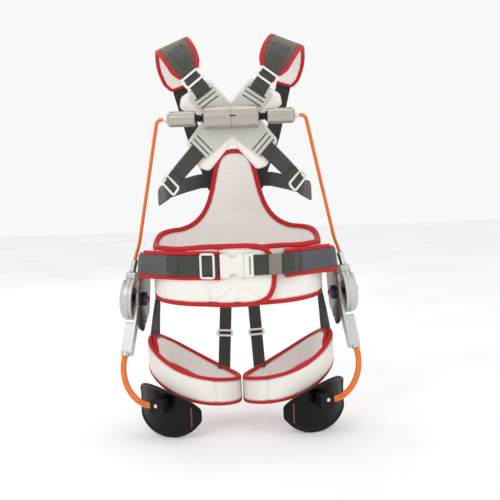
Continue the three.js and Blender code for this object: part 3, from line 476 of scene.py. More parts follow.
def cloth_puff(o, pin, pressure, cap, frames=20, stiff=14):
    """Swells a closed cover by cloth simulation, its seams held, and keeps each point near where it was."""
    me = o.data
    rest = np.zeros(len(me.vertices) * 3)
    me.vertices.foreach_get("co", rest)
    rest = rest.reshape(-1, 3)
    group = o.vertex_groups.new(name="seams")
    for i, w in enumerate(pin):
        if w > 0.01:
            group.add([i], float(w), "REPLACE")
    mod = o.modifiers.new("Cloth", "CLOTH")
    c = mod.settings
    c.quality = 4
    c.mass = 0.3
    c.tension_stiffness = c.compression_stiffness = stiff
    c.shear_stiffness = 5
    c.bending_stiffness = 0.4
    c.vertex_group_mass = "seams"
    c.use_pressure = True
    c.uniform_pressure_force = pressure
    c.effector_weights.gravity = 0
    mod.collision_settings.use_collision = False
    sc = bpy.context.scene
    sc.frame_start = 1
    sc.frame_end = frames
    mod.point_cache.frame_start = 1
    mod.point_cache.frame_end = frames
    for k in range(1, frames + 1):
        sc.frame_set(k)
    deps = bpy.context.evaluated_depsgraph_get()
    got = np.zeros(len(rest) * 3)
    o.evaluated_get(deps).data.vertices.foreach_get("co", got)
    got = got.reshape(-1, 3)
    o.modifiers.remove(mod)
    move = got - rest
    length = np.linalg.norm(move, axis=1, keepdims=True)
    move *= np.minimum(1, cap / np.maximum(length, 1e-9))
    me.vertices.foreach_set("co", (rest + move).ravel())
    me.update()
    sc.frame_set(1)
    return move


SIM_PRESSURE = 4.0


def pad(name, outline, place, thick, mats, step=6.0, edge=14.0, channels=(), swell=0.003,
        groove=0.55, groove_width=4.0, tip=0.7):
    """A padded cover from a flat outline. place(q, off) puts flat points q on the body at a distance off
    along its outward direction. Thickness is crowned, and drawn in at the rim and the channels. Outline,
    thickness, step, edge, groove width and tip are in millimetres; swell, in metres, caps the cloth."""
    outline = resample(outline, step, True)
    low, high = outline.min(0), outline.max(0)
    pts = []
    rows = int((high[1] - low[1]) / (step * 0.866)) + 1
    for r in range(rows + 1):
        y = low[1] + r * step * 0.866
        x0 = low[0] + (step / 2 if r % 2 else 0)
        pts.extend((x, y) for x in np.arange(x0, high[0] + step, step))
    pts = np.array(pts)
    pts = pts[inside(pts, outline)]
    pts = pts[poly_distance(pts, outline, True) > step * 0.6]
    n0 = len(outline)
    coords = [Vector(p) for p in np.vstack([outline, pts])]
    edges = [(i, (i + 1) % n0) for i in range(n0)]
    v2, _, tris, *_ = geometry.delaunay_2d_cdt(coords, edges, [], 1, 1e-7)
    q = np.array([(v.x, v.y) for v in v2])
    tris = np.array(tris)
    d = poly_distance(q, outline, True)
    crown = np.sqrt(np.clip(1 - (1 - np.minimum(d / edge, 1)) ** 2, 0, 1))
    pin = np.clip(1 - d / (step * 1.2), 0, 1)
    full = thick / 2 * crown
    for line in channels:
        dc = poly_distance(q, np.asarray(line), False)
        full = full * (1 - groove * np.exp(-((dc / groove_width) ** 2)))
        pin = np.maximum(pin, 0.97 * np.exp(-((dc / (groove_width * 0.8)) ** 2)))
    full = np.maximum(full, tip)
    upper = place(q, full)
    lower = place(q, -full)
    n = len(q)
    verts = np.vstack([upper, lower])
    faces = [tuple(t) for t in tris] + [tuple(t[::-1] + n) for t in tris]
    order = {}
    for i, p in enumerate(q):
        order[(round(p[0], 7), round(p[1], 7))] = i
    ids = [order[(round(p[0], 7), round(p[1], 7))] for p in np.array([(c.x, c.y) for c in coords[:n0]])]
    for i in range(n0):
        a, b = ids[i], ids[(i + 1) % n0]
        faces.append((a, b, b + n, a + n))
    o = new_object(name, verts, faces, mats[0])
    if len(mats) > 1:
        o.data.materials.append(mats[1])
        idx = [0] * len(tris) + [1] * len(tris) + [0] * n0
        o.data.polygons.foreach_set("material_index", idx)
    face_out(o)
    cloth_puff(o, np.concatenate([pin, pin]), SIM_PRESSURE, swell)
    sub = o.modifiers.new("Subdivision", "SUBSURF")
    sub.levels = sub.render_levels = 1
    apply_modifiers(o)
    return o


def apply_modifiers(o):
    """Puts the result of the modifiers in the mesh."""
    deps = bpy.context.evaluated_depsgraph_get()
    me = bpy.data.meshes.new_from_object(o.evaluated_get(deps))
    old = o.data
    o.modifiers.clear()
    o.data = me
    me.name = o.name
    if not old.users:
        bpy.data.meshes.remove(old)
    me.polygons.foreach_set("use_smooth", [True] * len(me.polygons))
    return o


def bevel(o, width, segments, angle):
    """Rounds the edges that are sharper than an angle."""
    bev = o.modifiers.new("Bevel", "BEVEL")
    bev.width = width
    bev.segments = segments
    bev.limit_method = "ANGLE"
    bev.angle_limit = angle * DEG


def weighted(o):
    """Applies an object's modifiers with shading that follows its large faces."""
    wn = o.modifiers.new("Weighted", "WEIGHTED_NORMAL")
    wn.keep_sharp = True
    deps = bpy.context.evaluated_depsgraph_get()
    done = bpy.data.meshes.new_from_object(o.evaluated_get(deps))
    o.modifiers.clear()
    o.data = done
    return o


def refine(node, mat, width, segments, angle=32):
    """A detailed copy of a hard node: rounded edges and shading that follows them."""
    src = frame["nodes"][node]
    me = src.data.copy()
    me.name = node + "_fine"
    me.materials.clear()
    me.materials.append(mat)
    o = bpy.data.objects.new(node + "_fine", me)
    bpy.context.scene.collection.objects.link(o)
    b = bmesh.new()
    b.from_mesh(me)
    bmesh.ops.remove_doubles(b, verts=b.verts, dist=1e-6)
    bmesh.ops.dissolve_limit(b, angle_limit=1.0 * DEG, verts=b.verts, edges=b.edges)
    b.to_mesh(me)
    b.free()
    me.polygons.foreach_set("use_smooth", [True] * len(me.polygons))
    bevel(o, width, segments, angle)
    weighted(o)
    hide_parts(node)
    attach(o, BODY_OF[node])
    return o


BODY_OF = {node: body for body, nodes in frame["record"]["behaviour"]["bodies"].items() for node in nodes}


# ---------------------------------------------------------------- the frame's own sizes, in millimetres
BELT_A, BELT_B, BELT_BOX = 174.0, 118.0, 2.5
BELT_LOW, BELT_PAD = 4.0, 12.0
BACK_SPLIT, BACK_LEAN = 150.0, 0.13
STRAP_Z, STRAP_THICK, GAP = 78.0, 2.4, 0.35
STRAP_WIDTH, LEG_STRAP_WIDTH, BELT_STRAP_WIDTH, BELT_STRAP_DROP = 34.0, 27.0, 42.0, 12.0
CHEST_Y, CHEST_Z, PLATE_THICK = -128.0, 372.0, 3.0
HIP_X, HIP_YAW, HIP_ROLL = 233.0, 10.0, 5.0
CASE_R, CASE_H = 48.0, 13.5
PLATE_AT = 29.0
WEB_THICK, WEB_WIDE, LEG_WEB_WIDE = 0.0022, 0.0325, 0.0265
THIGH_X, THIGH_Y = 100.5, -4.0


def rot(axis, deg):
    """A turn about a named axis."""
    return np.array(Matrix.Rotation(deg * DEG, 3, axis))


HIP_TURN = rot("Z", HIP_YAW) @ rot("Y", -HIP_ROLL)


def hip(x, y, z):
    """A point of the hip unit's own frame, x out along its axis, in millimetres."""
    return HIP_TURN @ np.array([x, y, z], float) + [HIP_X, 0, 0]


def flip(p, side):
    """Mirrors millimetre points to the given side and turns them into metres."""
    p = np.asarray(p, float) * MM
    return p * [side, 1, 1]


def flip_dir(n, side):
    return np.asarray(n, float) * [side, 1, 1]


SIDES = (("left", 1), ("right", -1))


def ring(deg):
    """The belt's middle line: points and outward directions, in millimetres."""
    t = np.asarray(deg, float) * DEG
    s, c = np.sin(t), -np.cos(t)
    k = 2 / BELT_BOX
    x = BELT_A * np.sign(s) * np.abs(s) ** k
    y = BELT_B * np.sign(c) * np.abs(c) ** k
    e = BELT_BOX - 1
    nx = np.sign(x) * (np.abs(x) / BELT_A) ** e / BELT_A
    ny = np.sign(y) * (np.abs(y) / BELT_B) ** e / BELT_B
    n = unit(np.stack([nx, ny, 0 * nx], -1))
    return np.stack([x, y, 0 * x], -1), n


def angle_at_x(x):
    """The angle round the belt's front at a distance across."""
    return np.sign(x) * math.asin(min(1, (abs(x) / BELT_A) ** (BELT_BOX / 2))) / DEG


def smoothstep(a, b, x):
    """Rises from 0 at a to 1 at b."""
    t = np.clip((np.asarray(x, float) - a) / (b - a), 0, 1)
    return t * t * (3 - 2 * t)


# arc length round the belt, from the wearer's left front end, round the back, to the lapped end
LAP_END = 360 + angle_at_x(76)
FINE_DEG = np.linspace(-10, 410, 4201)
_p, _ = ring(FINE_DEG)
FINE_S = np.concatenate([[0], np.cumsum(np.linalg.norm(np.diff(_p, axis=0), axis=1))])
FINE_S -= np.interp(180, FINE_DEG, FINE_S)


def s_at(deg):
    """Arc length at an angle round the belt."""
    return np.interp(deg, FINE_DEG, FINE_S)


def deg_at(s):
    """Angle at an arc length round the belt."""
    return np.interp(s, FINE_S, FINE_DEG)


def lap(deg):
    """How far the lapped end of the belt stands off the end under it."""
    return (BELT_PAD + GAP) * smoothstep(-20, -2, np.asarray(deg) - 360)


def belt_low(deg):
    """The height of the belt's lower edge at an angle."""
    d = np.abs((np.asarray(deg) + 180) % 360 - 180)
    return BELT_LOW - 10 * np.cos(np.minimum(90, d) * DEG)


def place_belt(q, off):
    """Flat (arc, height) points of the belt and back pad, put on the body."""
    deg = deg_at(q[:, 0])
    p, n = ring(deg)
    z = q[:, 1]
    out = p + n * (off + lap(deg))[:, None]
    rise = np.maximum(0, z - BACK_SPLIT + 10)
    out[:, 1] += BACK_LEAN * rise * smoothstep(0, 30, rise)
    out[:, 2] = z
    return out * MM


def binding(name, outline, place, mat, wide=5.0, deep=4.2, inset=3.2, step=5.0, sides=10, closed=True,
            lift=0.0):
    """Folded edge tape: a flattened bead that follows the outline of a pad on both faces."""
    q = resample(outline, step, closed)
    n = len(q)
    nxt = np.roll(q, -1, 0)
    prv = np.roll(q, 1, 0)
    if not closed:
        nxt[-1], prv[0] = q[-1], q[0]
    t = unit(nxt - prv)
    inward = np.stack([-t[:, 1], t[:, 0]], 1)
    area = 0.5 * np.sum(q[:, 0] * nxt[:, 1] - nxt[:, 0] * q[:, 1])
    if area < 0:
        inward = -inward
    v = []
    for k in range(sides):
        a = k / sides * 2 * math.pi
        c, s = math.cos(a), math.sin(a)
        c = math.copysign(abs(c) ** 0.8, c)
        s = math.copysign(abs(s) ** 0.7, s)
        v.append(place(q + inward * (inset + wide * c), np.full(n, lift + deep * s)))
    v = np.stack(v, 1).reshape(-1, 3)
    f = skin(n, sides, closed)
    if not closed:
        f.append(tuple(range(sides)))
        f.append(tuple((n - 1) * sides + k for k in range(sides))[::-1])
    o = new_object(name, v, f, mat)
    return face_out(o)


def seam_line(name, line, place, mat, off=5.6, step=3.0):
    """A run of stitches drawn on a pad's flat outline."""
    q = resample(line, step)
    p = place(q, np.full(len(q), off))
    up = unit(place(q, np.full(len(q), off + 1.0)) - p)
    return stitches(name, p, up, mat)


def inset_line(outline, inset, step=4.0, closed=True):
    """An outline moved inwards."""
    q = resample(outline, step, closed)
    nxt, prv = np.roll(q, -1, 0), np.roll(q, 1, 0)
    t = unit(nxt - prv)
    inward = np.stack([-t[:, 1], t[:, 0]], 1)
    if np.sum(q[:, 0] * nxt[:, 1] - nxt[:, 0] * q[:, 1]) < 0:
        inward = -inward
    r = q + inward * inset
    return np.vstack([r, r[:1]]) if closed else r


# ---------------------------------------------------------------- belt and back pad, one cover
def belt_outline():
    """The flat outline of belt and back pad, as arc length against height."""
    first, last = s_at(2), s_at(LAP_END)
    back = [(0, 310), (20, 307), (35, 296), (45, 274), (51, 245), (58, 212), (69, 182), (85, 160),
            (104, 146), (128, 139)]
    wing = [(136, 139), (122, 138), (108, 133), (98, 125), (92, 118.5)]
    right = back + [(abs(s_at(d)), z) for d, z in wing]
    right += [(abs(s_at(80)), 114), (abs(s_at(62)), 116), (abs(s_at(40)), 114), (abs(s_at(25)), 117)]
    right = np.array(right)
    left = right[::-1] * [-1, 1]
    top = np.vstack([left, right[1:]])
    # the lapped end rises a little at the front and closes in a round end
    front = [(s_at(350), 120), (s_at(364), 120)]
    end = []
    reach, tall = 46.0, 62.0
    centre = (last - reach, 57.0)
    for a in np.linspace(90, -90, 15):
        c, s = math.cos(a * DEG), math.sin(a * DEG)
        end.append((centre[0] + reach * abs(c) ** 0.8, centre[1] + tall * math.copysign(abs(s) ** 0.85, s)))
    bottom = [(s_at(d), float(belt_low(d))) for d in np.linspace(364, 2, 60)]
    top = np.vstack([[(first, 112)], top, front])
    return smooth_line(np.vstack([top, end, bottom, [(first, 4)]]), 2, True)


BELT_OUTLINE = belt_outline()


def on_front(x, z):
    """A point of the lapped front panel from its place across the front."""
    return (float(s_at(360 + angle_at_x(x))), z)


def make_belt():
    """The padded cover of belt and back pad, with its binding, quilting and label loops."""
    quilts = [
        [on_front(-52, 0), on_front(-14, 30)], [on_front(14, 30), on_front(56, 2)],
        [on_front(-56, 28), on_front(-56, 2)], [on_front(-40, 112), on_front(-22, 102)],
        [on_front(20, 102), on_front(46, 110)], [on_front(-4, 0), on_front(2, 14)],
    ]
    arch = [(-62, 156), (-30, 168), (0, 171), (30, 168), (62, 156)]
    o = pad("belt_and_back_pad", BELT_OUTLINE, place_belt, BELT_PAD - 1.5, [WHITE, LINING], step=6.0,
            edge=16.0, channels=quilts + [arch], swell=0.0035, groove=0.4, groove_width=4.0, tip=0.7)
    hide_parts("belt_pad_back", "back_pad_upper", "belt_pad_front_left", "belt_pad_front_right")
    pieces = [o, binding("belt_binding", BELT_OUTLINE, place_belt, RED, wide=6.2, deep=5.4, inset=4.2)]
    pieces.append(seam_line("belt_binding_stitch", inset_line(BELT_OUTLINE, 9.6), place_belt,
                            DARK_RED_THREAD, 5.3))
    pieces.append(seam_line("belt_binding_stitch_inner", inset_line(BELT_OUTLINE, 9.6), place_belt,
                            DARK_RED_THREAD, -5.3))
    for i, line in enumerate(quilts):
        pieces.append(seam_line(f"quilt_stitch_{i}", line, place_belt, THREAD, 4.2))
    loops = []
    for x in (-3.2, 3.2):
        loops.append(tape(f"label_loop_{'a' if x < 0 else 'b'}",
                          place_belt(np.array([[x, 262], [x * 0.9, 250], [x * 0.8, 240]]),
                                     np.full(3, -6.6)), 4.0))
    for p in pieces + loops:
        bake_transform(p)


def tape(name, points, width):
    """A narrow sewn tape that faces forwards."""
    n = np.tile([0.0, -1.0, 0.0], (len(points), 1))
    return band(name, points, n, width * MM, 0.9 * MM, THREAD, step=0.002)


make_belt()


# ---------------------------------------------------------------- outer belt straps
def ride(o, body, like=None):
    """A piece that rides a body; like= names the CAD node that it takes over."""
    if like:
        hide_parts(like)
    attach(o, body)
    return o


def belt_path(side, start_x, lift, rear=True):
    """The belt strap's middle line, in metres, and its outward directions. It runs from the buckle round
    the outside of the hip plate, or with rear=False only to the front of the plate."""
    first = angle_at_x(start_x)
    pts, nrm = [], []
    leave = 50
    for d in np.linspace(first, leave, 12):
        p, n = ring([d])
        stand = (BELT_PAD + GAP) * (1 - smoothstep(27, 42, d)) if side > 0 else lap(360 - d)
        pts.append(p[0] + n[0] * (BELT_PAD / 2 + float(stand) + lift) + [0, 0, STRAP_Z])
        nrm.append(n[0])
    out = HIP_TURN @ [1, 0, 0]
    for y, share in ((-46, 0), (-20, 0.2), (14, 0.55), (42, 0.8)) if rear else ((-46, 0), (-26, 0.1)):
        out_by = -PLATE_AT + 1.5 + lift - 2.6
        base = hip(out_by, y, 0)
        up = (STRAP_Z - BELT_STRAP_DROP * share - base[2]) / math.cos(HIP_ROLL * DEG)
        pts.append(hip(out_by, y, up))
        nrm.append(out)
    if rear:
        for d in (112, 118, 124):
            p, n = ring([d])
            pts.append(p[0] + n[0] * (BELT_PAD / 2 + lift) + [0, 0, STRAP_Z - BELT_STRAP_DROP])
            nrm.append(n[0])
    return flip(pts, side), flip_dir(nrm, side)


def cut_path(pts, nrm, a, b):
    """The part of a path between two lengths in metres."""
    s = lengths(pts)
    b = min(b, s[-1])
    t = np.unique(np.concatenate([[a], s[(s > a) & (s < b)], [b]]))
    return at_length(t, s, pts), unit(at_length(t, s, nrm))


def edge_of(pts, nrm, across):
    """A line beside a strap's path, by a distance across it."""
    d = unit(np.gradient(pts, axis=0))
    side = np.cross(d, unit(nrm - d * (nrm * d).sum(1, keepdims=True)))
    return pts + side * across


BACKING_WIDE, BACKING_THICK, BEAD = 0.049, 0.0024, 0.0046


def make_belt_straps():
    """Red-edged backing and two layers of webbing on each side of the belt."""
    for name, side in SIDES:
        node = f"belt_webbing_{name}"
        # red-edged backing
        start = 92 if side > 0 else 34
        pts, nrm = belt_path(side, start, 2.3, rear=False)
        back = band(f"belt_backing_{name}", pts, nrm, BACKING_WIDE, BACKING_THICK, RED)
        ride(back, "pelvis")
        lo, hi = edge_of(pts, nrm, -0.0250), edge_of(pts, nrm, 0.0250)
        for part, line in (("a", lo), ("b", hi)):
            fine = resample(line, 0.006)
            # the upper edge stops short of the rod, which passes over it as the torso leans
            if line[0][2] > STRAP_Z * MM:
                fine = fine[:-5]
            ride(tube(f"belt_backing_edge_{name}_{part}", fine, BEAD, RED, sides=12, flat=0.62), "pelvis")
        cap = np.stack([lo[0], (lo[0] + hi[0]) / 2 + unit(lo[0] - lo[1]) * 0.012, hi[0]])
        ride(tube(f"belt_backing_cap_{name}", resample(smooth_line(cap, 3), 0.004), BEAD, RED, flat=0.62),
             "pelvis")
        # lower layer, round the hip plate
        pts, nrm = belt_path(side, 60 if side > 0 else 74, 4.8)
        under = band(f"belt_strap_{name}", pts, nrm, 0.0415, STRAP_THICK * MM, BELT_WEB)
        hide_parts(node)
        ride(under, "pelvis")
        # upper layer, from the buckle
        pts, nrm = belt_path(side, 33 if side > 0 else 36, 7.4, rear=False)
        length = 0.112 if side > 0 else 0.118
        pts, nrm = cut_path(pts, nrm, 0, length)
        ride(band(f"belt_strap_top_{name}", pts, nrm, 0.0418, STRAP_THICK * MM, WEB), "pelvis")
        for k, at in (("a", length - 0.004), ("b", length - 0.03)):
            p2, n2 = cut_path(pts, nrm, at - 0.0005, at)
            line = np.stack([edge_of(p2, n2, -0.019)[0], edge_of(p2, n2, 0.019)[0]])
            ride(stitches(f"belt_bar_stitch_{name}_{k}", line, np.stack([n2[0], n2[0]]), DARK_THREAD,
                          lift=0.0013), "pelvis")
        if side > 0:
            p2, n2 = cut_path(pts, nrm, 0.030, 0.056)
            ride(band("belt_patch", p2 + n2 * 0.0022, n2, 0.0415, 0.0016, PATCH), "pelvis")


make_belt_straps()


# ---------------------------------------------------------------- more shapes
def eased(profile, cut=0.5):
    """A turned profile with its corners broken."""
    p = [np.array(q, float) for q in profile]
    out = [p[0]]
    for a, b, c in zip(p[:-2], p[1:-1], p[2:]):
        da, dc = a - b, c - b
        la, lc = np.linalg.norm(da), np.linalg.norm(dc)
        turn = math.degrees(math.acos(np.clip(-(da @ dc) / (la * lc), -1, 1)))
        if turn < 12:
            out.append(b)
            continue
        k = min(cut, 0.35 * la, 0.35 * lc)
        p0, p2 = b + da / la * k, b + dc / lc * k
        out.extend([p0, 0.25 * p0 + 0.5 * b + 0.25 * p2, p2])
    out.append(p[-1])
    return out


def lathe(name, profile, at, side, mat, sides=72, cut=0.5):
    """A turned piece. profile holds (along, radius) in millimetres; at(x, y, z) puts it in the frame."""
    prof = eased(profile, cut)
    loop = np.allclose(prof[0], prof[-1])
    if loop:
        prof = prof[:-1]
    v, rings = [], []
    for x, r in prof:
        if r < 1e-6:
            rings.append([len(v)] * sides)
            v.append(at(x, 0, 0))
        else:
            rings.append([len(v) + k for k in range(sides)])
            for k in range(sides):
                a = k / sides * 2 * math.pi
                v.append(at(x, r * math.cos(a), r * math.sin(a)))
    f = []
    pairs = list(zip(rings, rings[1:] + rings[:1])) if loop else list(zip(rings[:-1], rings[1:]))
    for a, b in pairs:
        if a[0] == a[1] and b[0] == b[1]:
            continue
        for k in range(sides):
            m = (k + 1) % sides
            q = [a[k], a[m], b[m], b[k]]
            q = [i for n, i in enumerate(q) if i not in q[:n]]
            if len(q) > 2:
                f.append(tuple(q))
    if not loop:
        for r, x in ((rings[0], prof[0]), (rings[-1], prof[-1])):
            if x[1] >= 1e-6:
                f.append(tuple(r))
    return weighted(face_out(new_object(name, flip(v, side), f, mat)))


def slab(name, shape, depth, at, side, mat, edge=0.8, segments=3):
    """A flat plate: shape is a 2-D outline, depth its two levels; at(level, a, b) puts it in the frame."""
    shape = np.asarray(shape, float)
    n = len(shape)
    v = [at(depth[0], a, b) for a, b in shape] + [at(depth[1], a, b) for a, b in shape]
    f = [tuple(range(n))[::-1], tuple(range(n, 2 * n))]
    f += [(i, (i + 1) % n, n + (i + 1) % n, n + i) for i in range(n)]
    o = face_out(new_object(name, flip(v, side), f, mat))
    if edge:
        bevel(o, edge * MM, segments, 40)
    return weighted(o)


def rounded(corners, radius, steps=6):
    """A polygon with each corner rounded."""
    p = np.asarray(corners, float)
    n = len(p)
    out = []
    for i in range(n):
        a, b, c = p[i - 1], p[i], p[(i + 1) % n]
        da, dc = unit(a - b), unit(c - b)
        half = math.acos(np.clip(da @ dc, -1, 1)) / 2
        k = min(radius / max(math.tan(half), 1e-3), 0.48 * np.linalg.norm(a - b),
                0.48 * np.linalg.norm(c - b))
        p0, p2 = b + da * k, b + dc * k
        for t in np.linspace(0, 1, steps):
            out.append((1 - t) ** 2 * p0 + 2 * t * (1 - t) * b + t * t * p2)
    return np.array(out)


def bent(corners, radii, steps=12):
    """A bar's middle line with each bend rounded."""
    p = np.asarray(corners, float)
    out = [p[0]]
    for i in range(1, len(p) - 1):
        a, b, c = p[i - 1], p[i], p[i + 1]
        da, dc = unit(a - b), unit(c - b)
        half = math.acos(np.clip(da @ dc, -1, 1)) / 2
        k = min(radii[i - 1] / max(math.tan(half), 1e-3), 0.45 * np.linalg.norm(a - b),
                0.45 * np.linalg.norm(c - b))
        p0, p2 = b + da * k, b + dc * k
        for t in np.linspace(0, 1, steps):
            out.append((1 - t) ** 2 * p0 + 2 * t * (1 - t) * b + t * t * p2)
    out.append(p[-1])
    return np.array(out)


def spline(points, count):
    """A smooth curve through points, with knots spaced by the root of their distances."""
    p = np.asarray(points, float)
    ext = np.vstack([2 * p[0] - p[1], p, 2 * p[-1] - p[-2]])
    out = []
    for t in np.linspace(0, 1, count):
        at = (len(p) - 1) * t
        i = min(int(at), len(p) - 2)
        w = at - i
        x0, x1, x2, x3 = ext[i : i + 4]
        d0, d1, d2 = (math.sqrt(np.linalg.norm(b - a)) for a, b in ((x0, x1), (x1, x2), (x2, x3)))
        m1 = ((x1 - x0) / d0 - (x2 - x0) / (d0 + d1) + (x2 - x1) / d1) * d1
        m2 = ((x2 - x1) / d1 - (x3 - x1) / (d1 + d2) + (x3 - x2) / d2) * d1
        square = -3 * x1 + 3 * x2 - 2 * m1 - m2
        cube = 2 * x1 - 2 * x2 + m1 + m2
        out.append(x1 + m1 * w + square * w * w + cube * w**3)
    return np.array(out)


# ---------------------------------------------------------------- buckle and sliders
def moulded_loop(name, half_x, half_z, radius, wide, deep, at, mat):
    """A flat frame with round corners and a rounded section; at(x, y, z) takes whole arrays."""
    mid = rounded([(-half_x, -half_z), (half_x, -half_z), (half_x, half_z), (-half_x, half_z)], radius, 8)
    t = unit(np.roll(mid, -1, 0) - np.roll(mid, 1, 0))
    out = np.stack([t[:, 1], -t[:, 0]], 1)
    n, sides = len(mid), 16
    rings = []
    for k in range(sides):
        a = (k + 0.5) / sides * 2 * math.pi
        c, s = (math.copysign(abs(w) ** 0.55, w) for w in (math.cos(a), math.sin(a)))
        q = mid + out * (wide / 2 * c)
        rings.append(at(q[:, 0], np.full(n, deep / 2 * s), q[:, 1]))
    v = np.stack(rings, 1).reshape(-1, 3)
    return face_out(new_object(name, v, skin(n, sides, True), mat))


def make_slider(node, width, length, gap):
    """The frame and the rear bar of a ladder slider, set where its CAD solid lies."""
    body = BODY_OF[node]
    along = next(unit(j["axis"]) for j in frame["record"]["behaviour"]["joints"] if j["child"] == body)
    me = frame["nodes"][node].data
    v = np.zeros(len(me.vertices) * 3)
    me.vertices.foreach_get("co", v)
    v = v.reshape(-1, 3) / MM
    middle = (v.max(0) + v.min(0)) / 2
    flat = (v - middle) - ((v - middle) @ along)[:, None] * along
    across = np.linalg.eigh(flat.T @ flat)[1][:, 2]
    out = np.cross(along, across)
    depth = (v - middle) @ out
    if (depth > (depth.max() + depth.min()) / 2).mean() < 0.5:
        out, depth = -out, -depth
    half = STRAP_THICK / 2 + gap
    origin = middle + out * (depth.max() - half - 3.2)
    for axis in (along, across):
        w = (v - middle) @ axis
        origin = origin + axis * (w.max() + w.min()) / 2

    def at(x, y, z):
        x, y, z = (np.atleast_1d(np.asarray(w, float))[:, None] for w in (x, y, z))
        return (origin + across * x + out * y + along * z) * MM

    rail = width / 2 + 3.2
    ring = moulded_loop(f"{node}_frame", rail, length / 2 - 2.3, 5.0, 4.6, 3.4, lambda x, y,
                        z: at(x, y + half + 1.7, z), MOULDED)
    ride(ring, body, node)
    bar = bent([(-rail, half + 1.5, 0), (-rail + 0.4, -half - 1.4, 0), (rail - 0.4, -half - 1.4, 0),
                (rail, half + 1.5, 0)], [2.4, 2.4], 6)
    ride(tube(f"{node}_bar", at(bar[:, 0], bar[:, 1], bar[:, 2]), 0.0015, MOULDED, sides=14), body)


for node in ("buckle_socket", "buckle_plug", "buckle_tab_upper", "buckle_tab_lower"):
    refine(node, MOULDED, 0.0012, 3, angle=28)
make_slider("belt_slider", BELT_STRAP_WIDTH, 33.0, 0.3)
for name, side in SIDES:
    make_slider(f"shoulder_slider_{name}", STRAP_WIDTH, 26.0, 0.55)
    make_slider(f"side_slider_{name}", STRAP_WIDTH, 26.0, 0.55)
    make_slider(f"rear_slider_{name}", LEG_STRAP_WIDTH, 16.0, 0.55)


# ---------------------------------------------------------------- shoulder pads and their straps
SHOULDER = spline([(82, -110, 464), (98, -83, 500), (117, -30, 528), (124, 22, 529), (126, 72, 498),
                   (114, 100, 448)], 241)
SHOULDER_T = np.linspace(0, 1, 241)
_along = unit(np.gradient(SHOULDER, axis=0))
_slope = unit(np.stack([np.ones(241), 0.18 * np.cos(math.pi * SHOULDER_T), -0.46 + 0.1 * SHOULDER_T], 1))
SHOULDER_SIDE = unit(_slope - _along * (_slope * _along).sum(1, keepdims=True))
SHOULDER_OUT = unit(np.cross(_along, SHOULDER_SIDE))
SHOULDER_OUT = np.where(SHOULDER_OUT[:, 2:3] < -0.2, -SHOULDER_OUT, SHOULDER_OUT)
SHOULDER_S = lengths(SHOULDER)


def by_length(table, s):
    return at_length(s, SHOULDER_S, table)


def on_shoulder(side):
    def place(q, off):
        p = by_length(SHOULDER, q[:, 0])
        p = p + by_length(SHOULDER_SIDE, q[:, 0]) * q[:, 1:2] + by_length(SHOULDER_OUT,
                                                                          q[:, 0]) * np.asarray(off)[:,
                                                                                                     None]
        return flip(p, side)

    return place


def pad_station(t, lift):
    """A point above the shoulder pad's middle line, with its outward direction."""
    s = np.interp(t, SHOULDER_T, SHOULDER_S)
    n = by_length(SHOULDER_OUT, s)
    return by_length(SHOULDER, s) + n * lift, n


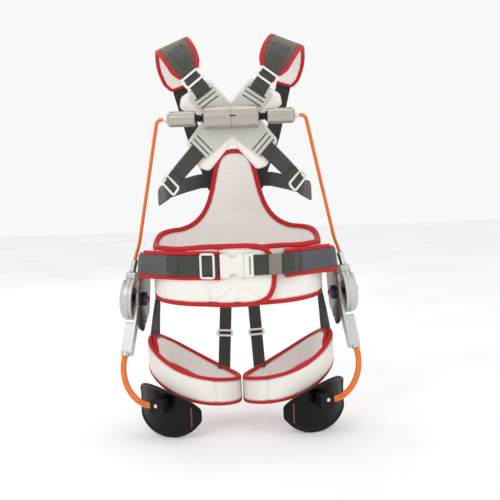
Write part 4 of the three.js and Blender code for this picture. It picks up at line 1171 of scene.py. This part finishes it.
def make_shoulder(name, side):
    """A shoulder pad and the webbing sewn to its front."""
    length = SHOULDER_S[-1]
    w0, w1 = 24.0, 34.0
    half = [(0, w0 * 0.55), (2, w0 * 0.9), (7, w0), (26, w1), (length / 2, w1 + 1), (length - 26, w1),
            (length - 7, w0), (length - 2, w0 * 0.9), (length, w0 * 0.55)]
    outline = np.array(half + [(s, -w) for s, w in reversed(half)])
    outline = smooth_line(outline, 2, True)
    place = on_shoulder(side)
    o = pad(f"shoulder_cushion_{name}", outline, place, 8.2, [OLIVE, LINING], step=5.0, edge=10,
            swell=0.0016, tip=0.6,
            channels=[[(60, -26), (60, 26)], [(length - 60, -26), (length - 60, 26)]], groove=0.3,
            groove_width=3.0)
    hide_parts(f"shoulder_pad_{name}")
    ride(o, "torso")
    ride(binding(f"shoulder_binding_{name}", outline, place, RED, wide=4.8, deep=4.1, inset=2.8, step=4),
         "torso")
    ride(seam_line(f"shoulder_stitch_{name}", inset_line(outline, 7.6), place, DARK_RED_THREAD, 4.0),
         "torso")
    # strap: sewn tab on the pad, down through the slider to the plate
    lift = 4.5 + 0.35 + 1.2 + 0.3
    pts, nrm = zip(*(pad_station(t, lift) for t in np.linspace(0.3, 0, 11)))
    front = unit([0.1, -1, 0.15])
    pts = list(pts) + [(59, -133.35, 434), (53, -133.15, 423)]
    nrm = list(nrm) + [front, front]
    pts, nrm = flip(pts, side), flip_dir(nrm, side)
    o = band(f"shoulder_web_{name}", pts, nrm, WEB_WIDE, WEB_THICK, WEB, step=0.003)
    ride(o, "torso", f"shoulder_strap_{name}")
    for k, (a, b) in enumerate(((0.002, 0.0025), (0.018, 0.0185))):
        p2, n2 = cut_path(pts, nrm, a, b)
        line = np.stack([edge_of(p2, n2, -0.0135)[0], edge_of(p2, n2, 0.0135)[0]])
        ride(stitches(f"shoulder_bar_{name}_{k}", line, np.stack([n2[0]] * 2), DARK_THREAD, lift=0.0011),
             "torso")
    p2, n2 = cut_path(pts, nrm, 0.003, 0.018)
    for k, d in enumerate((-0.0135, 0.0135)):
        ride(stitches(f"shoulder_box_{name}_{k}", edge_of(p2, n2, d), n2, DARK_THREAD, lift=0.0011),
             "torso")
    # short second layer below the slider, back up from the plate
    total = np.linalg.norm(np.diff(pts, axis=0), axis=1).sum()
    p2, n2 = cut_path(pts, nrm, total - 0.058, total - 0.001)
    p2 = p2 - n2 * 0.0024
    keep = p2[:, 2] < 0.452
    if keep.sum() > 2:
        ride(band(f"shoulder_web_under_{name}", p2[keep], n2[keep], 0.0315, 0.0018, DARK_WEB, step=0.003),
             "torso")
    # the fold in the plate's slot
    fold = flip([(51.5, -131.2, 420.5), (52.5, -134.2, 422.5)], side)
    ride(tube(f"shoulder_fold_{name}", [fold[1] + [-0.0135 * side, 0, 0.0095],
                                        fold[1] + [0.0135 * side, 0, -0.0095]], 0.0021, WEB,
              flat=0.8), "torso")


def back_face(x, z):
    """How far back the rear face of the back pad lies."""
    return BELT_B - 26 * (x / BELT_A) ** 2 + BACK_LEAN * (z - BACK_SPLIT) + 9.55


def make_straps(name, side):
    """The strap down the back, the strap round the ribs and its folded tail."""
    n_back = unit([0, 1, 0.1])
    stations = [pad_station(0.9, 6.35), pad_station(0.95, 6.35), pad_station(1, 6.35),
                (np.array([88, back_face(40, 320) + 1, 335]), n_back),
                (np.array([61, back_face(46, 268), 268]), n_back),
                (np.array([46, back_face(44, 224), 224]), n_back)]
    p = flip([a for a, _ in stations], side)
    n = flip_dir([b for _, b in stations], side)
    ride(band(f"back_web_{name}", p, n, WEB_WIDE, WEB_THICK, DARK_WEB), "torso",
         f"back_strap_{name}")
    # round the ribs
    y = back_face(20, 240) + 6.8
    line = [((68, -133.15, 311), (0, -1, 0)), ((77, -133.35, 302), (0.2, -1, 0)),
            ((108, -112, 270), (0.45, -0.9, 0)),
            ((140, -88, 228), (0.6, -0.8, 0)), ((160, -44, 214), (1, -0.4, 0)),
            ((162, 30, 220), (1, 0.2, 0)), ((118, 104, 232), (0.6, 0.8, 0)),
            ((80, y, 240), (0, 1, 0.1)), ((18, y, 240), (0, 1, 0.1))]
    p = flip([a for a, _ in line], side)
    n = flip_dir([b for _, b in line], side)
    ride(band(f"side_web_{name}", p, n, WEB_WIDE, WEB_THICK, WEB), "torso", f"side_strap_{name}")
    # a folded tail above the slider
    a, b = np.array([108.0, -112, 270]), np.array([140.0, -88, 228])
    out = unit(np.cross(b - a, [0.62, 0.3, 0.62]))
    out = -out if out[1] > 0 else out
    tail = [a * (1 - t) + b * t + out * h for t, h in ((0.16, 2.6), (0.3, 3.4), (0.44, 3.2), (0.52, 2.4))]
    ride(band(f"side_tail_{name}", flip(tail, side), flip_dir([out] * 4, side), 0.0320, 0.0020, WEB,
              step=0.003), "torso")


def make_leg_straps(name, side):
    """The straps that carry a thigh loop."""
    top, low = np.array([173.9, 10.0, 6]), LOOP_OUTER
    p = [top, top * 0.75 + low * 0.25, (top + low) / 2, low + [0, 0, -10]]
    n = [(1, -0.4, 0), (1, -0.6, 0), (1, -0.8, 0), (0.6, -1, 0)]
    ride(band(f"leg_side_web_{name}", flip(p, side), flip_dir(n, side), LEG_WEB_WIDE, WEB_THICK, WEB),
         "pelvis", f"leg_side_strap_{name}")
    p = [(29.6, 117.8, 8), (29.9, 114, -10), LOOP_REAR + [0, 0, -6]]
    ride(band(f"leg_rear_web_{name}", flip(p, side), flip_dir([(0, 1, 0.29)] * 3, side), LEG_WEB_WIDE,
              WEB_THICK, WEB), "pelvis", f"leg_rear_strap_{name}")


# ---------------------------------------------------------------- leg loops
LOOP_A, LOOP_B, LOOP_TOP, LOOP_TALL = 94.5, 93.0, -140.0, 59.0


def loop_tall(deg):
    """A thigh loop's height at an angle."""
    return LOOP_TALL + 4 * np.cos(deg * DEG)


def loop_top(deg):
    """The height of a thigh loop's upper edge at an angle."""
    t = deg * DEG
    return LOOP_TOP + 45 * np.cos(t) + 4 * np.sin(t) + 7 * np.cos(2 * t) + 6 * np.sin(2 * t)


def loop_mark(deg):
    """A point on a thigh loop's upper edge."""
    t = deg * DEG
    return np.array([THIGH_X + LOOP_A * math.cos(t), THIGH_Y + LOOP_B * math.sin(t), loop_top(deg)])


LOOP_OUTER, LOOP_REAR = loop_mark(22), loop_mark(130)


def on_loop(side):
    def place(q, off):
        deg = q[:, 0] / (92 * DEG)
        t = deg * DEG
        v = q[:, 1] / loop_tall(deg)
        layer = np.asarray(off) - 10.4 * (1 - smoothstep(16, 52, deg))
        x = THIGH_X + (LOOP_A + layer) * np.cos(t)
        y = THIGH_Y + (LOOP_B + layer) * np.sin(t)
        z = loop_top(deg) - loop_tall(deg) * (1 - v)
        return flip(np.stack([x, y, z], 1), side)

    return place


def make_loop(name, side):
    """A padded strip wound round the thigh, its inner end tucked under."""
    k = 92 * DEG
    a, b = -24, 374
    low = [(d * k, 0.0) for d in np.linspace(a + 3, b - 3, 90)]
    top = [(d * k, float(loop_tall(d))) for d in np.linspace(b - 3, a + 3, 90)]
    endr = [(b * k, 10), (b * k, float(loop_tall(b)) - 10)]
    endl = [(a * k, float(loop_tall(a)) - 10), (a * k, 10)]
    outline = smooth_line(np.array(low + endr + top + endl), 1, True)
    place = on_loop(side)
    seams = [[(d * k, 3), (d * k, float(loop_tall(d)) - 3)] for d in (118, 242)]
    o = pad(f"thigh_loop_{name}", outline, place, 9.4, [WHITE, LINING], step=6.0, edge=13, channels=seams,
            swell=0.0022, groove=0.35, groove_width=4, tip=0.6)
    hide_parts(f"leg_loop_{name}")
    ride(o, "pelvis")
    ride(binding(f"thigh_loop_binding_{name}", outline, place, RED, wide=4.6, deep=4.6, inset=2.9, step=5),
         "pelvis")
    for f, off in (("out", 4.7), ("in", -4.7)):
        ride(seam_line(f"thigh_loop_stitch_{name}_{f}", inset_line(outline, 7.4), place, DARK_RED_THREAD,
                       off), "pelvis")
    for i, line in enumerate(seams):
        ride(seam_line(f"thigh_loop_seam_{name}_{i}", line, place, THREAD, 4.0), "pelvis")


for name, side in SIDES:
    make_shoulder(name, side)
    make_straps(name, side)
    make_leg_straps(name, side)
    make_loop(name, side)


# ---------------------------------------------------------------- chest
def x_shape(grow, radius):
    """The outline of the cross plate."""
    half = [(0, 28 + grow), (40, 74 + grow), (86 + grow, 46 + grow), (46 + grow, 2), (88 + grow, -46),
            (58 + grow * 0.4, -82 - grow), (0, -33 - grow)]
    other = [(-x, z) for x, z in half[5:0:-1]]
    return rounded([(x, z + CHEST_Z) for x, z in half + other], radius)


def chest_place(q, off):
    # the lobes past the plate's arms curl back a little towards the body
    r = np.hypot(q[:, 0] / 92, (q[:, 1] - CHEST_Z) / 84)
    y = CHEST_Y + 7.4 - np.asarray(off) + 2.2 * np.maximum(0, r - 0.95)
    return np.stack([q[:, 0], y, q[:, 1]], 1) * MM


def cushion_shape():
    """The outline of the cushion behind the cross plate."""
    half = [(0, 33), (40, 80), (78, 60), (99, 46), (103, 24), (57, 0), (91.5, -45), (69, -96), (48, -103),
            (0, -47)]
    other = [(-x, z) for x, z in half[8:0:-1]]
    return rounded([(x, z + CHEST_Z) for x, z in half + other], 9)


outline = cushion_shape()
o = pad("chest_cushion", outline, chest_place, 12.6, [CUSHION, LINING], step=5.0, edge=9, swell=0.0012,
        tip=0.8)
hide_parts("chest_pad")
ride(o, "torso")
ride(seam_line("chest_cushion_seam", np.vstack([outline, outline[:1]]), chest_place, THREAD, 0.9), "torso")


def make_plate():
    """The cross plate with three slots near the tip of each arm, grey sheets of painted shade behind them.
    """
    shape = x_shape(0, 7)
    o = slab("chest_plate_fine", shape, (CHEST_Y - PLATE_THICK, CHEST_Y), lambda y, x,
             z: np.array([x, y, z]), 1, PLATE, 0)
    cutters = []
    shade_sheets = []
    for s in (1, -1):
        for k in range(3):
            for x, z, turn in ((53 - 5.6 * k, 50 - 8 * k, 35), (69 - 7 * k, -60 + 6.6 * k, -48)):
                c = rot("Y", s * turn)
                r = rounded([(-22, -1.3), (22, -1.3), (22, 1.3), (-22, 1.3)], 1.2, 5)
                def at(y, a, b, c=c, x=s * x, z=z):
                    return c @ np.array([a, 0, b]) + [x, y, CHEST_Z + z]
                cutters.append(slab("slot_cutter", r, (CHEST_Y - 9, CHEST_Y + 5), at, 1, PLATE, 0))
                # painted shade: a grey sheet in the slot, so the slot reads dark instead of showing the
                # cushion
                shade_sheets.append(slab(f"slot_shade_sheet_{len(shade_sheets)}", rounded([(-22.6, -1.8), (22.6, -1.8), (22.6,
                                                                                                  1.8),
                                                                    (-22.6, 1.8)], 1, 3),
                                 (CHEST_Y - 0.9, CHEST_Y - 0.1), at, 1, SLOT_SHADE, 0))
    for cutter in cutters:
        m = o.modifiers.new("Slot", "BOOLEAN")
        m.operation = "DIFFERENCE"
        m.solver = "EXACT"
        m.object = cutter
    bevel(o, 0.0005, 2, 50)
    weighted(o)
    for cutter in cutters:
        bpy.data.objects.remove(cutter, do_unlink=True)
    ride(o, "torso", "chest_plate")
    for f in shade_sheets:
        ride(f, "torso")


make_plate()
SHAFT_Y, SHAFT_Z = -154.35, 374.0


def on_shaft(x, y, z):
    return np.array([x, SHAFT_Y + y, SHAFT_Z + z])


def make_chest(name, side):
    """Barrels, ball joints, rod and sleeve on one side of the chest."""
    body = [(0.25, 3.8), (0.25, 23), (6.0, 23), (6.4, 22.6), (6.8, 23), (49.5, 23), (50, 22.7), (54, 19),
            (54, 12), (52.6, 11), (52.6, 3.8)]
    ride(lathe(f"chest_barrel_{name}", body + body[:1], on_shaft, side, STEEL, 96), "torso",
         f"chest_cylinder_{name}")
    body = [(70.5, 3.8), (70.5, 13.2), (72.6, 15.5), (120.6, 15.5), (125.5, 11.6), (125.5, 7.4),
            (124.3, 6.8), (124.3, 3.8)]
    ride(lathe(f"side_barrel_{name}", body + body[:1], on_shaft, side, STEEL, 80), "torso",
         f"side_cylinder_{name}")
    # set screw in the side barrel's top, a socket joint beside the ball
    a = 62 * DEG
    up = np.array([0, -math.cos(a), math.sin(a)])

    def on_screw(x, y, z):
        return on_shaft(116, 0, 0) + up * (15.2 + x) + np.array([1, 0, 0]) * y + np.cross(up, [1, 0, 0]) * z

    ride(lathe(f"set_screw_{name}", [(-1.5, 0), (-1.5, 2.5), (0.35, 2.5), (0.35, 1.5), (-0.9, 1.3),
                                     (-0.9, 0)], on_screw, side, BLACKENED, 24, 0.15), "torso")
    cup = [(66.8, 4.6), (66.8, 8.6), (69.0, 9.6), (70.3, 9.6), (70.3, 4.6)]
    ride(lathe(f"ball_cup_outer_{name}", cup + cup[:1], on_shaft, side, BLACKENED, 40, 0.3), "torso")
    cup = [(54.2, 4.6), (54.2, 9.2), (56.0, 9.2), (58.6, 7.6), (58.6, 5.6)]
    ride(lathe(f"ball_cup_inner_{name}", cup + cup[:1], on_shaft, side, BLACKENED, 40, 0.3), "torso")
    collar = [(125.7, 3.7), (125.7, 6.4), (129.5, 6.4), (130.2, 5.6), (130.2, 3.7)]
    ride(lathe(f"rod_collar_{name}", collar + collar[:1], on_shaft, side, BRIGHT, 40, 0.25), "torso")
    # rod
    top, low = hip(-7, -2, 84), hip(-2, -2, 58.7)
    entry = top + (low - top) * -0.45
    kink = top + [-13, -20, 36]
    path = bent([(94.5, SHAFT_Y, SHAFT_Z), (146, SHAFT_Y, SHAFT_Z), kink, entry, top + (low - top) * 0.6],
                [13, 60, 20], 16)
    fine = resample(path, 2.5)
    ride(tube(f"torso_bar_{name}", flip(fine, side), 0.0036, ORANGE, sides=20), "torso",
         f"torso_rod_{name}")
    pin = np.array([(126, SHAFT_Y, SHAFT_Z), (134.5, SHAFT_Y, SHAFT_Z)])
    ride(tube(f"rod_pin_{name}", flip(pin, side), 0.0040, BRIGHT, sides=24), "torso")
    # sleeve, split along its length; the split is drawn as a thin dark bar of painted shade
    axis = unit(low - top)
    across = unit(np.cross(axis, [0, 1, 0]))
    third = np.cross(axis, across)

    def on_sleeve(x, y, z):
        return top + axis * x + across * y + third * z

    prof = [(0, 4.0), (0, 6.0), (0.7, 6.6), (18.5, 6.6), (19, 7.2), (25.8, 7.2), (26.3, 6.6), (26.3, 4.0)]
    ride(lathe(f"sleeve_{name}", prof + prof[:1], on_sleeve, side, BRIGHT, 48, 0.2), "torso",
         f"rod_sleeve_{name}")
    # painted shade: a thin dark bar on the sleeve where the split is
    slit_shade = [on_sleeve(x, -6.15, -2.3) for x in (1, 10, 18)]
    ride(tube(f"sleeve_slit_shade_{name}", flip(slit_shade, side), 0.0009, BLACKENED, sides=8), "torso")


def shaft_profile():
    """Half of the cross shaft, with the ball at its end."""
    ball, r = 63.0, 7.0
    arc = [(ball - r * math.cos(t), r * math.sin(t)) for t in np.linspace(0.16 * math.pi, math.pi * 0.84,
                                                                          14)]
    half = [(0.0, 3.5)] + arc + [(ball + r * 0.9, 3.4), (ball + r + 1.2, 3.4), (ball + r + 1.2, 0)]
    return half


for name, side in SIDES:
    ride(lathe(f"shaft_half_{name}", shaft_profile(), on_shaft, side, BLACKENED, 40, 0.2), "torso",
         "chest_shaft" if side > 0 else None)
    make_chest(name, side)
# a short dark bar in the middle of the barrel's face, painted shade standing in for a slot
a = 8 * DEG
slot = [on_shaft(x, -23.02 * math.cos(a), 23.02 * math.sin(a)) for x in (-2, 9)]
ride(tube("barrel_slot_shade", np.array(slot) * MM, 0.0014, BLACKENED, sides=10, flat=1.0), "torso")


# ---------------------------------------------------------------- hip units
SWING = rot("X", -25)
LINK_OUT, LINK_TUBE = -CASE_H - 4.2, 10.0


def link_at(x, y, z):
    """A point of the leg link's own frame."""
    return hip(*(SWING @ np.array([x, y, z], float)))


def make_hip(name, side):
    """The drive unit, the plate that holds it and the top of the leg arm."""
    h, r = CASE_H, CASE_R
    body = [(-h, r - 6), (-h, r - 1), (-h + 1, r), (-h + 5.6, r), (-h + 6.4, r - 1.4), (-h + 8.6, r - 1.4),
            (-h + 9.4, r), (h - 10, r),
            (h - 9.4, r - 0.8), (h - 8.6, r - 0.8), (h - 8, r - 0.3), (h - 6, r - 2), (h - 3, r - 3),
            (h - 0.6, r - 6), (h, r - 8), (h, 16),
            (h - 0.8, 14), (h - 0.8, 0.01), (h - 4.5, 0.01), (h - 4.5, r - 6)]
    ride(lathe(f"casing_{name}", body + body[:1], hip, side, CASE, 120, 0.5), "torso",
         f"hip_casing_{name}")
    tower = rounded([(-18, r - 5), (18, r - 5), (12, r + 9), (-15, r + 9)], 3.5)
    ride(slab(f"casing_tower_{name}", tower, (-h + 1, h - 5), hip, side, CASE, 1.0), "torso")
    lug = rounded([(-5, r - 3), (5, r - 3), (4, r + 4.5), (-4, r + 4.5)], 2)
    ride(slab(f"casing_lug_{name}", lug, (h - 10, h - 3.5), lambda x, y,
              z: hip(x, *(rot("X", 38)[1:, 1:] @ [y, z])), side, CASE, 0.7), "torso")

    def on_lug(x, y, z):
        u, w = rot("X", 38)[1:, 1:] @ [0, 1]
        p = hip(h - 6.7, u * (r + 3 + x), w * (r + 3 + x))
        return p + HIP_TURN @ [y, 0, 0] + (HIP_TURN @ [0, w, -u]) * z

    ride(lathe(f"casing_screw_{name}", [(-2, 0), (-2, 3.2), (4.4, 3.2), (5, 2.6), (5, 0)], on_lug, side,
               BRIGHT, 24, 0.2), "torso")
    pack = [(-h + 0.5, 9.5), (-h + 0.5, 12), (-h + 1.1, 12.4), (-h + 1.1, 36.6), (-h + 0.5, 37),
            (-h + 0.5, r - 10), (-h + 3, r - 6.4), (h - 5, r - 6.4), (h - 5, 9.5)]
    ride(lathe(f"spring_cover_{name}", pack + pack[:1], hip, side, BROWN, 96, 0.3), "torso",
         f"spring_pack_{name}")
    pin = [(h + 0.35, 0), (h + 0.35, 6), (h + 4, 6), (h + 4, 9), (h + 9, 9), (h + 10, 8), (h + 10, 4.2),
           (h + 8.4, 3.6), (h + 8.4, 0)]
    ride(lathe(f"lock_knob_{name}", pin, hip, side, STEEL, 40, 0.35), f"lock_pin_{name}_body",
         f"lock_pin_{name}")
    # plate, bolt and ring
    refine(f"hip_plate_{name}", DARK_BROWN, 0.0005, 3)
    inner, outer = -PLATE_AT - 1.5, -PLATE_AT + 1.5
    ball = [(-9 * math.cos(t), 9 * math.sin(t)) for t in np.linspace(0.27 * math.pi, 0.98 * math.pi, 16)]
    bolt = [(inner - 11, 0), (inner - 11, 4.0), (inner - 9.4, 6.2), (inner - 6.4, 6.6), (inner - 6.0, 9.5),
            (inner - 0.35, 9.8), (inner - 0.35, 5.2), (outer + 0.35, 5.2), (outer + 0.35, 6.8),
            (-9 * math.cos(0.27 * math.pi) - 1, 6.8)] + ball + [(9, 0)]
    ride(lathe(f"pivot_bolt_{name}", bolt, hip, side, BRONZE, 48, 0.3), "pelvis",
         f"hip_bolt_{name}")
    ringp = [(inner - 0.35, 9.9), (inner - 0.35, 15), (inner - 5, 15), (inner - 6.2, 13.6),
             (inner - 6.2, 10.4), (inner - 5.4, 9.9)]
    ride(lathe(f"pivot_ring_{name}", ringp + ringp[:1], hip, side, BLUE, 48, 0.4), "pelvis")
    # leg arm
    refine(f"leg_link_{name}", CASE, 0.0009, 3)
    for k, z in enumerate((-62, -78, -94)):
        def on_link(x, y, w, z=z):
            return link_at(LINK_OUT - 5 - 0.2 - x, y, z + w)

        prof = [(-1, 0), (-1, 2.6), (0.9, 2.6), (1.4, 2.0), (1.4, 1.2), (0.6, 1.0), (0.6, 0)]
        ride(lathe(f"link_screw_{name}_{k}", prof, on_link, side, BRIGHT, 24, 0.15), f"leg_arm_{name}")


def thigh(deg, r, z):
    """Points round the thigh."""
    t = np.asarray(deg, float) * DEG
    return np.stack([THIGH_X + r * np.sin(t), THIGH_Y - r * np.cos(t), z + 0 * t], -1)


PAD_R, PAD_MIDDLE = 118.0, 32.0
CLAMP_DEG = 29.0
CLAMP = thigh(CLAMP_DEG, PAD_R + 2.5 + 21, -209.0)
CLAMP_OUT = np.array([math.sin(CLAMP_DEG * DEG), -math.cos(CLAMP_DEG * DEG), 0])
CLAMP_ACROSS = np.array([math.cos(CLAMP_DEG * DEG), math.sin(CLAMP_DEG * DEG), 0])


def make_leg(name, side):
    """The bent leg tube and its clamp."""
    start, out, low = (link_at(LINK_OUT + LINK_TUBE, 0, z) for z in (-102, -128, -162))
    low = low + [4, 0, 0]
    entry, end = CLAMP + CLAMP_ACROSS * 26, CLAMP - CLAMP_ACROSS * 2
    b = [out, out + (low - out) * 1.5, entry + CLAMP_ACROSS * 42, entry]
    t = np.linspace(0, 1, 60)[:, None]
    curve = (1 - t) ** 3 * b[0] + 3 * t * (1 - t) ** 2 * b[1] + 3 * t * t * (1 - t) * b[2] + t**3 * b[3]
    path = resample(np.vstack([start, curve, end]), 3.0)
    body = f"leg_arm_{name}"
    ride(tube(f"leg_bar_{name}", flip(path, side), 0.0063, ORANGE, sides=28), body,
         f"leg_tube_{name}")
    # two small dots near the clamp
    for k, d in enumerate((36, 48)):
        near = CLAMP + CLAMP_ACROSS * d
        i = int(np.argmin(np.linalg.norm(path - near, axis=1)))
        c = path[i]
        t1 = unit(path[min(i + 1, len(path) - 1)] - path[i - 1])
        up = unit(np.array([-0.1, -1, 0.25]) - t1 * (np.array([-0.1, -1, 0.25]) @ t1))
        w = np.cross(t1, up)

        def on_dot(x, y, z, c=c, up=up, t1=t1, w=w):
            return c + up * (6.1 + x) + t1 * y + w * z

        ride(lathe(f"tube_dot_{name}_{k}", [(-0.8, 0), (-0.8, 1.5), (0.35, 1.5), (0.5, 1.2), (0.5, 0)],
                   on_dot, side, BLACKENED, 20, 0.1), body)
    refine(f"pad_clamp_{name}", BLOCK, 0.0014, 3)

    def on_clamp(x, y, z):
        return CLAMP + CLAMP_OUT * (9.5 + x) + CLAMP_ACROSS * (y + 3) + np.array([0, 0, 1.0]) * (z + 3)

    prof = [(-1, 0), (-1, 4.2), (2.2, 4.2), (2.8, 3.6), (2.8, 2.0), (1.4, 1.7), (1.4, 0)]
    ride(lathe(f"clamp_screw_{name}", prof, on_clamp, side, BRIGHT, 32, 0.25), body)


def thigh_outline(q):
    """Upper and lower edge heights of the thigh pad at a place q from -1, the inner end, to 1."""
    q = np.asarray(q, float)
    full = 47 * np.where(q > 0, 1 - 0.26 * np.abs(q) ** 2.6, np.sqrt(np.maximum(0.07, 1 - q * q)))
    mid = -230 + 14 * q + 11.5 * q * q
    crown = 7 * np.exp(-(((q - 0.15) / 0.45) ** 2)) - 16 * np.maximum(0, (q - 0.55) / 0.45) ** 2
    return mid - full, mid + full + crown


def make_thigh_pad(name, side):
    """The curved shell with its raised rim, pivot and stripe."""
    qs = np.linspace(-1, 1, 40)
    low, high = thigh_outline(qs)
    edge = np.vstack([np.stack([PAD_MIDDLE + 40 * qs, high], 1),
                      np.stack([PAD_MIDDLE + 40 * qs, low], 1)[::-1]])
    flat = edge * [PAD_R * DEG, 1]
    flat = smooth_line(resample(flat, 12.0, True), 3, True)
    flat = resample(flat, 3.2, True)
    mid = flat.mean(0)
    levels = [(0.0, 0), (0.3, 0), (0.55, 0), (0.72, 0), (0.84, 0), (0.885, 0.1), (0.905, 1.0), (0.93, 1.9),
              (0.96, 2.1), (0.985, 1.5), (0.997, 0.2), (1.0, -1.2)]
    n = len(flat)

    def at(q, off):
        deg = q[:, 0] / (PAD_R * DEG)
        lowz, highz = thigh_outline((deg - PAD_MIDDLE) / 40)
        w = np.clip((q[:, 1] - (lowz + highz) / 2) / np.maximum(8, (highz - lowz) / 2), -1.05, 1.05)
        flare = 3 * np.maximum(0, w) ** 4 + 3 * np.maximum(0, -w) ** 4
        t = deg * DEG
        r = PAD_R + flare + off
        return np.stack([THIGH_X + r * np.sin(t), THIGH_Y - r * np.cos(t), q[:, 1]], 1)

    v, f = [], []
    for face in (1, -1):
        for k, rise in levels:
            q = mid + (flat - mid) * k
            off = 2.4 + rise if face > 0 else -(2.4 + max(min(rise, 0.0), -1.2))
            v.append(at(q, off))
    m = len(levels)
    v = np.vstack(v)
    for face in (0, 1):
        for i in range(m - 1):
            for k in range(n):
                j = (k + 1) % n
                a, b = (face * m + i) * n, (face * m + i + 1) * n
                if i == 0:
                    f.append((a, b + k, b + j))
                else:
                    f.append((a + k, b + k, b + j, a + j))
    for k in range(n):
        j = (k + 1) % n
        f.append(((m - 1) * n + k, (2 * m - 1) * n + k, (2 * m - 1) * n + j, (m - 1) * n + j))
    o = new_object(f"thigh_shell_{name}", flip(v, side), f, SHELL)
    bm = bmesh.new()
    bm.from_mesh(o.data)
    bmesh.ops.remove_doubles(bm, verts=bm.verts, dist=1e-7)
    loose = [x for x in bm.verts if not x.link_faces]
    bmesh.ops.delete(bm, geom=loose, context="VERTS")
    bmesh.ops.recalc_face_normals(bm, faces=bm.faces)
    bm.to_mesh(o.data)
    bm.free()
    sub = o.modifiers.new("Subdivision", "SUBSURF")
    sub.levels = sub.render_levels = 1
    apply_modifiers(o)
    ride(o, f"thigh_pad_body_{name}", f"thigh_pad_{name}")
    # pivot lug behind the clamp
    def on_lug(x, y, z):
        return CLAMP - CLAMP_OUT * (14 - y) + CLAMP_ACROSS * x + np.array([0, 0, 1.0]) * z

    prof = [(-6.5, 0), (-6.5, 4.4), (6.5, 4.4), (6.5, 0)]
    ride(lathe(f"pivot_lug_{name}", prof, on_lug, side, BLOCK, 32, 0.6), f"thigh_pad_body_{name}")
    foot = rounded([(-6.5, -4.5), (6.5, -4.5), (6.5, 4.5), (-6.5, 4.5)], 1.5)
    ride(slab(f"pivot_foot_{name}", foot, (-22.5, -14), lambda d, x,
              z: CLAMP + CLAMP_OUT * d + CLAMP_ACROSS * x + np.array([0, 0, 1.0]) * z,
               side, BLOCK, 0.6), f"thigh_pad_body_{name}")
    # brown stripe near the inner edge
    lo, hi = thigh_outline(-0.72)
    zs = np.linspace(lo + 9, hi - 13, 14)
    q = np.stack([np.full(14, (PAD_MIDDLE - 40 * 0.74) * PAD_R * DEG), zs], 1)
    p = at(q, np.full(14, 2.7))
    nrm = unit(at(q, np.full(14, 4.0)) - p)
    ride(band(f"thigh_stripe_{name}", flip(p, side), flip_dir(nrm, side), 0.0034, 0.0009, STRIPE),
         f"thigh_pad_body_{name}")


for name, side in SIDES:
    make_hip(name, side)
    make_leg(name, side)
    make_thigh_pad(name, side)


# ---------------------------------------------------------------- stage and light
def make_stage():
    """A plain pale floor."""
    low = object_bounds()[0][2]
    n = Nodes("floor")
    broad = n.noise(n.coord(), 3.0, 2)
    n.set(Base_Color=n.ramp(broad, (0.3, rgb("f4f4f4")), (0.7, rgb("fafafa"))), Roughness=0.75)
    v = [(-6, -4, low), (6, -4, low), (6, 5, low), (-6, 5, low)]
    o = new_object("floor", v, [(0, 1, 2, 3)], n.mat, smooth=False)


def area(name, at, to, size, power):
    """A rectangular lamp."""
    d = bpy.data.lights.new(name, "AREA")
    d.shape = "RECTANGLE"
    d.size, d.size_y = size
    d.energy = power
    o = bpy.data.objects.new(name, d)
    o.location = at
    o.rotation_euler = (Vector(to) - Vector(at)).to_track_quat("-Z", "Y").to_euler()
    bpy.context.scene.collection.objects.link(o)


def make_light():
    """Soft light from all round, with faint lamps for shape."""
    w = bpy.data.worlds.new("studio")
    bpy.context.scene.world = w
    w.use_nodes = True
    bg = w.node_tree.nodes["Background"]
    bg.inputs["Color"].default_value = (1, 1, 1, 1)
    bg.inputs["Strength"].default_value = 0.94
    area("key", (-1.1, -1.9, 1.7), (0, 0, 0.1), (1.3, 1.3), 11)
    area("fill", (1.7, -1.5, 0.9), (0, 0, 0.05), (1.4, 1.8), 4)
    area("top", (0.1, 0.3, 2.2), (0, 0, 0.1), (1.6, 1.6), 5)
    area("rim", (-1.2, 1.8, 1.2), (0, 0, 0.1), (1.0, 1.4), 5)


make_stage()
make_light()
bpy.context.scene.view_settings.view_transform = "Standard"
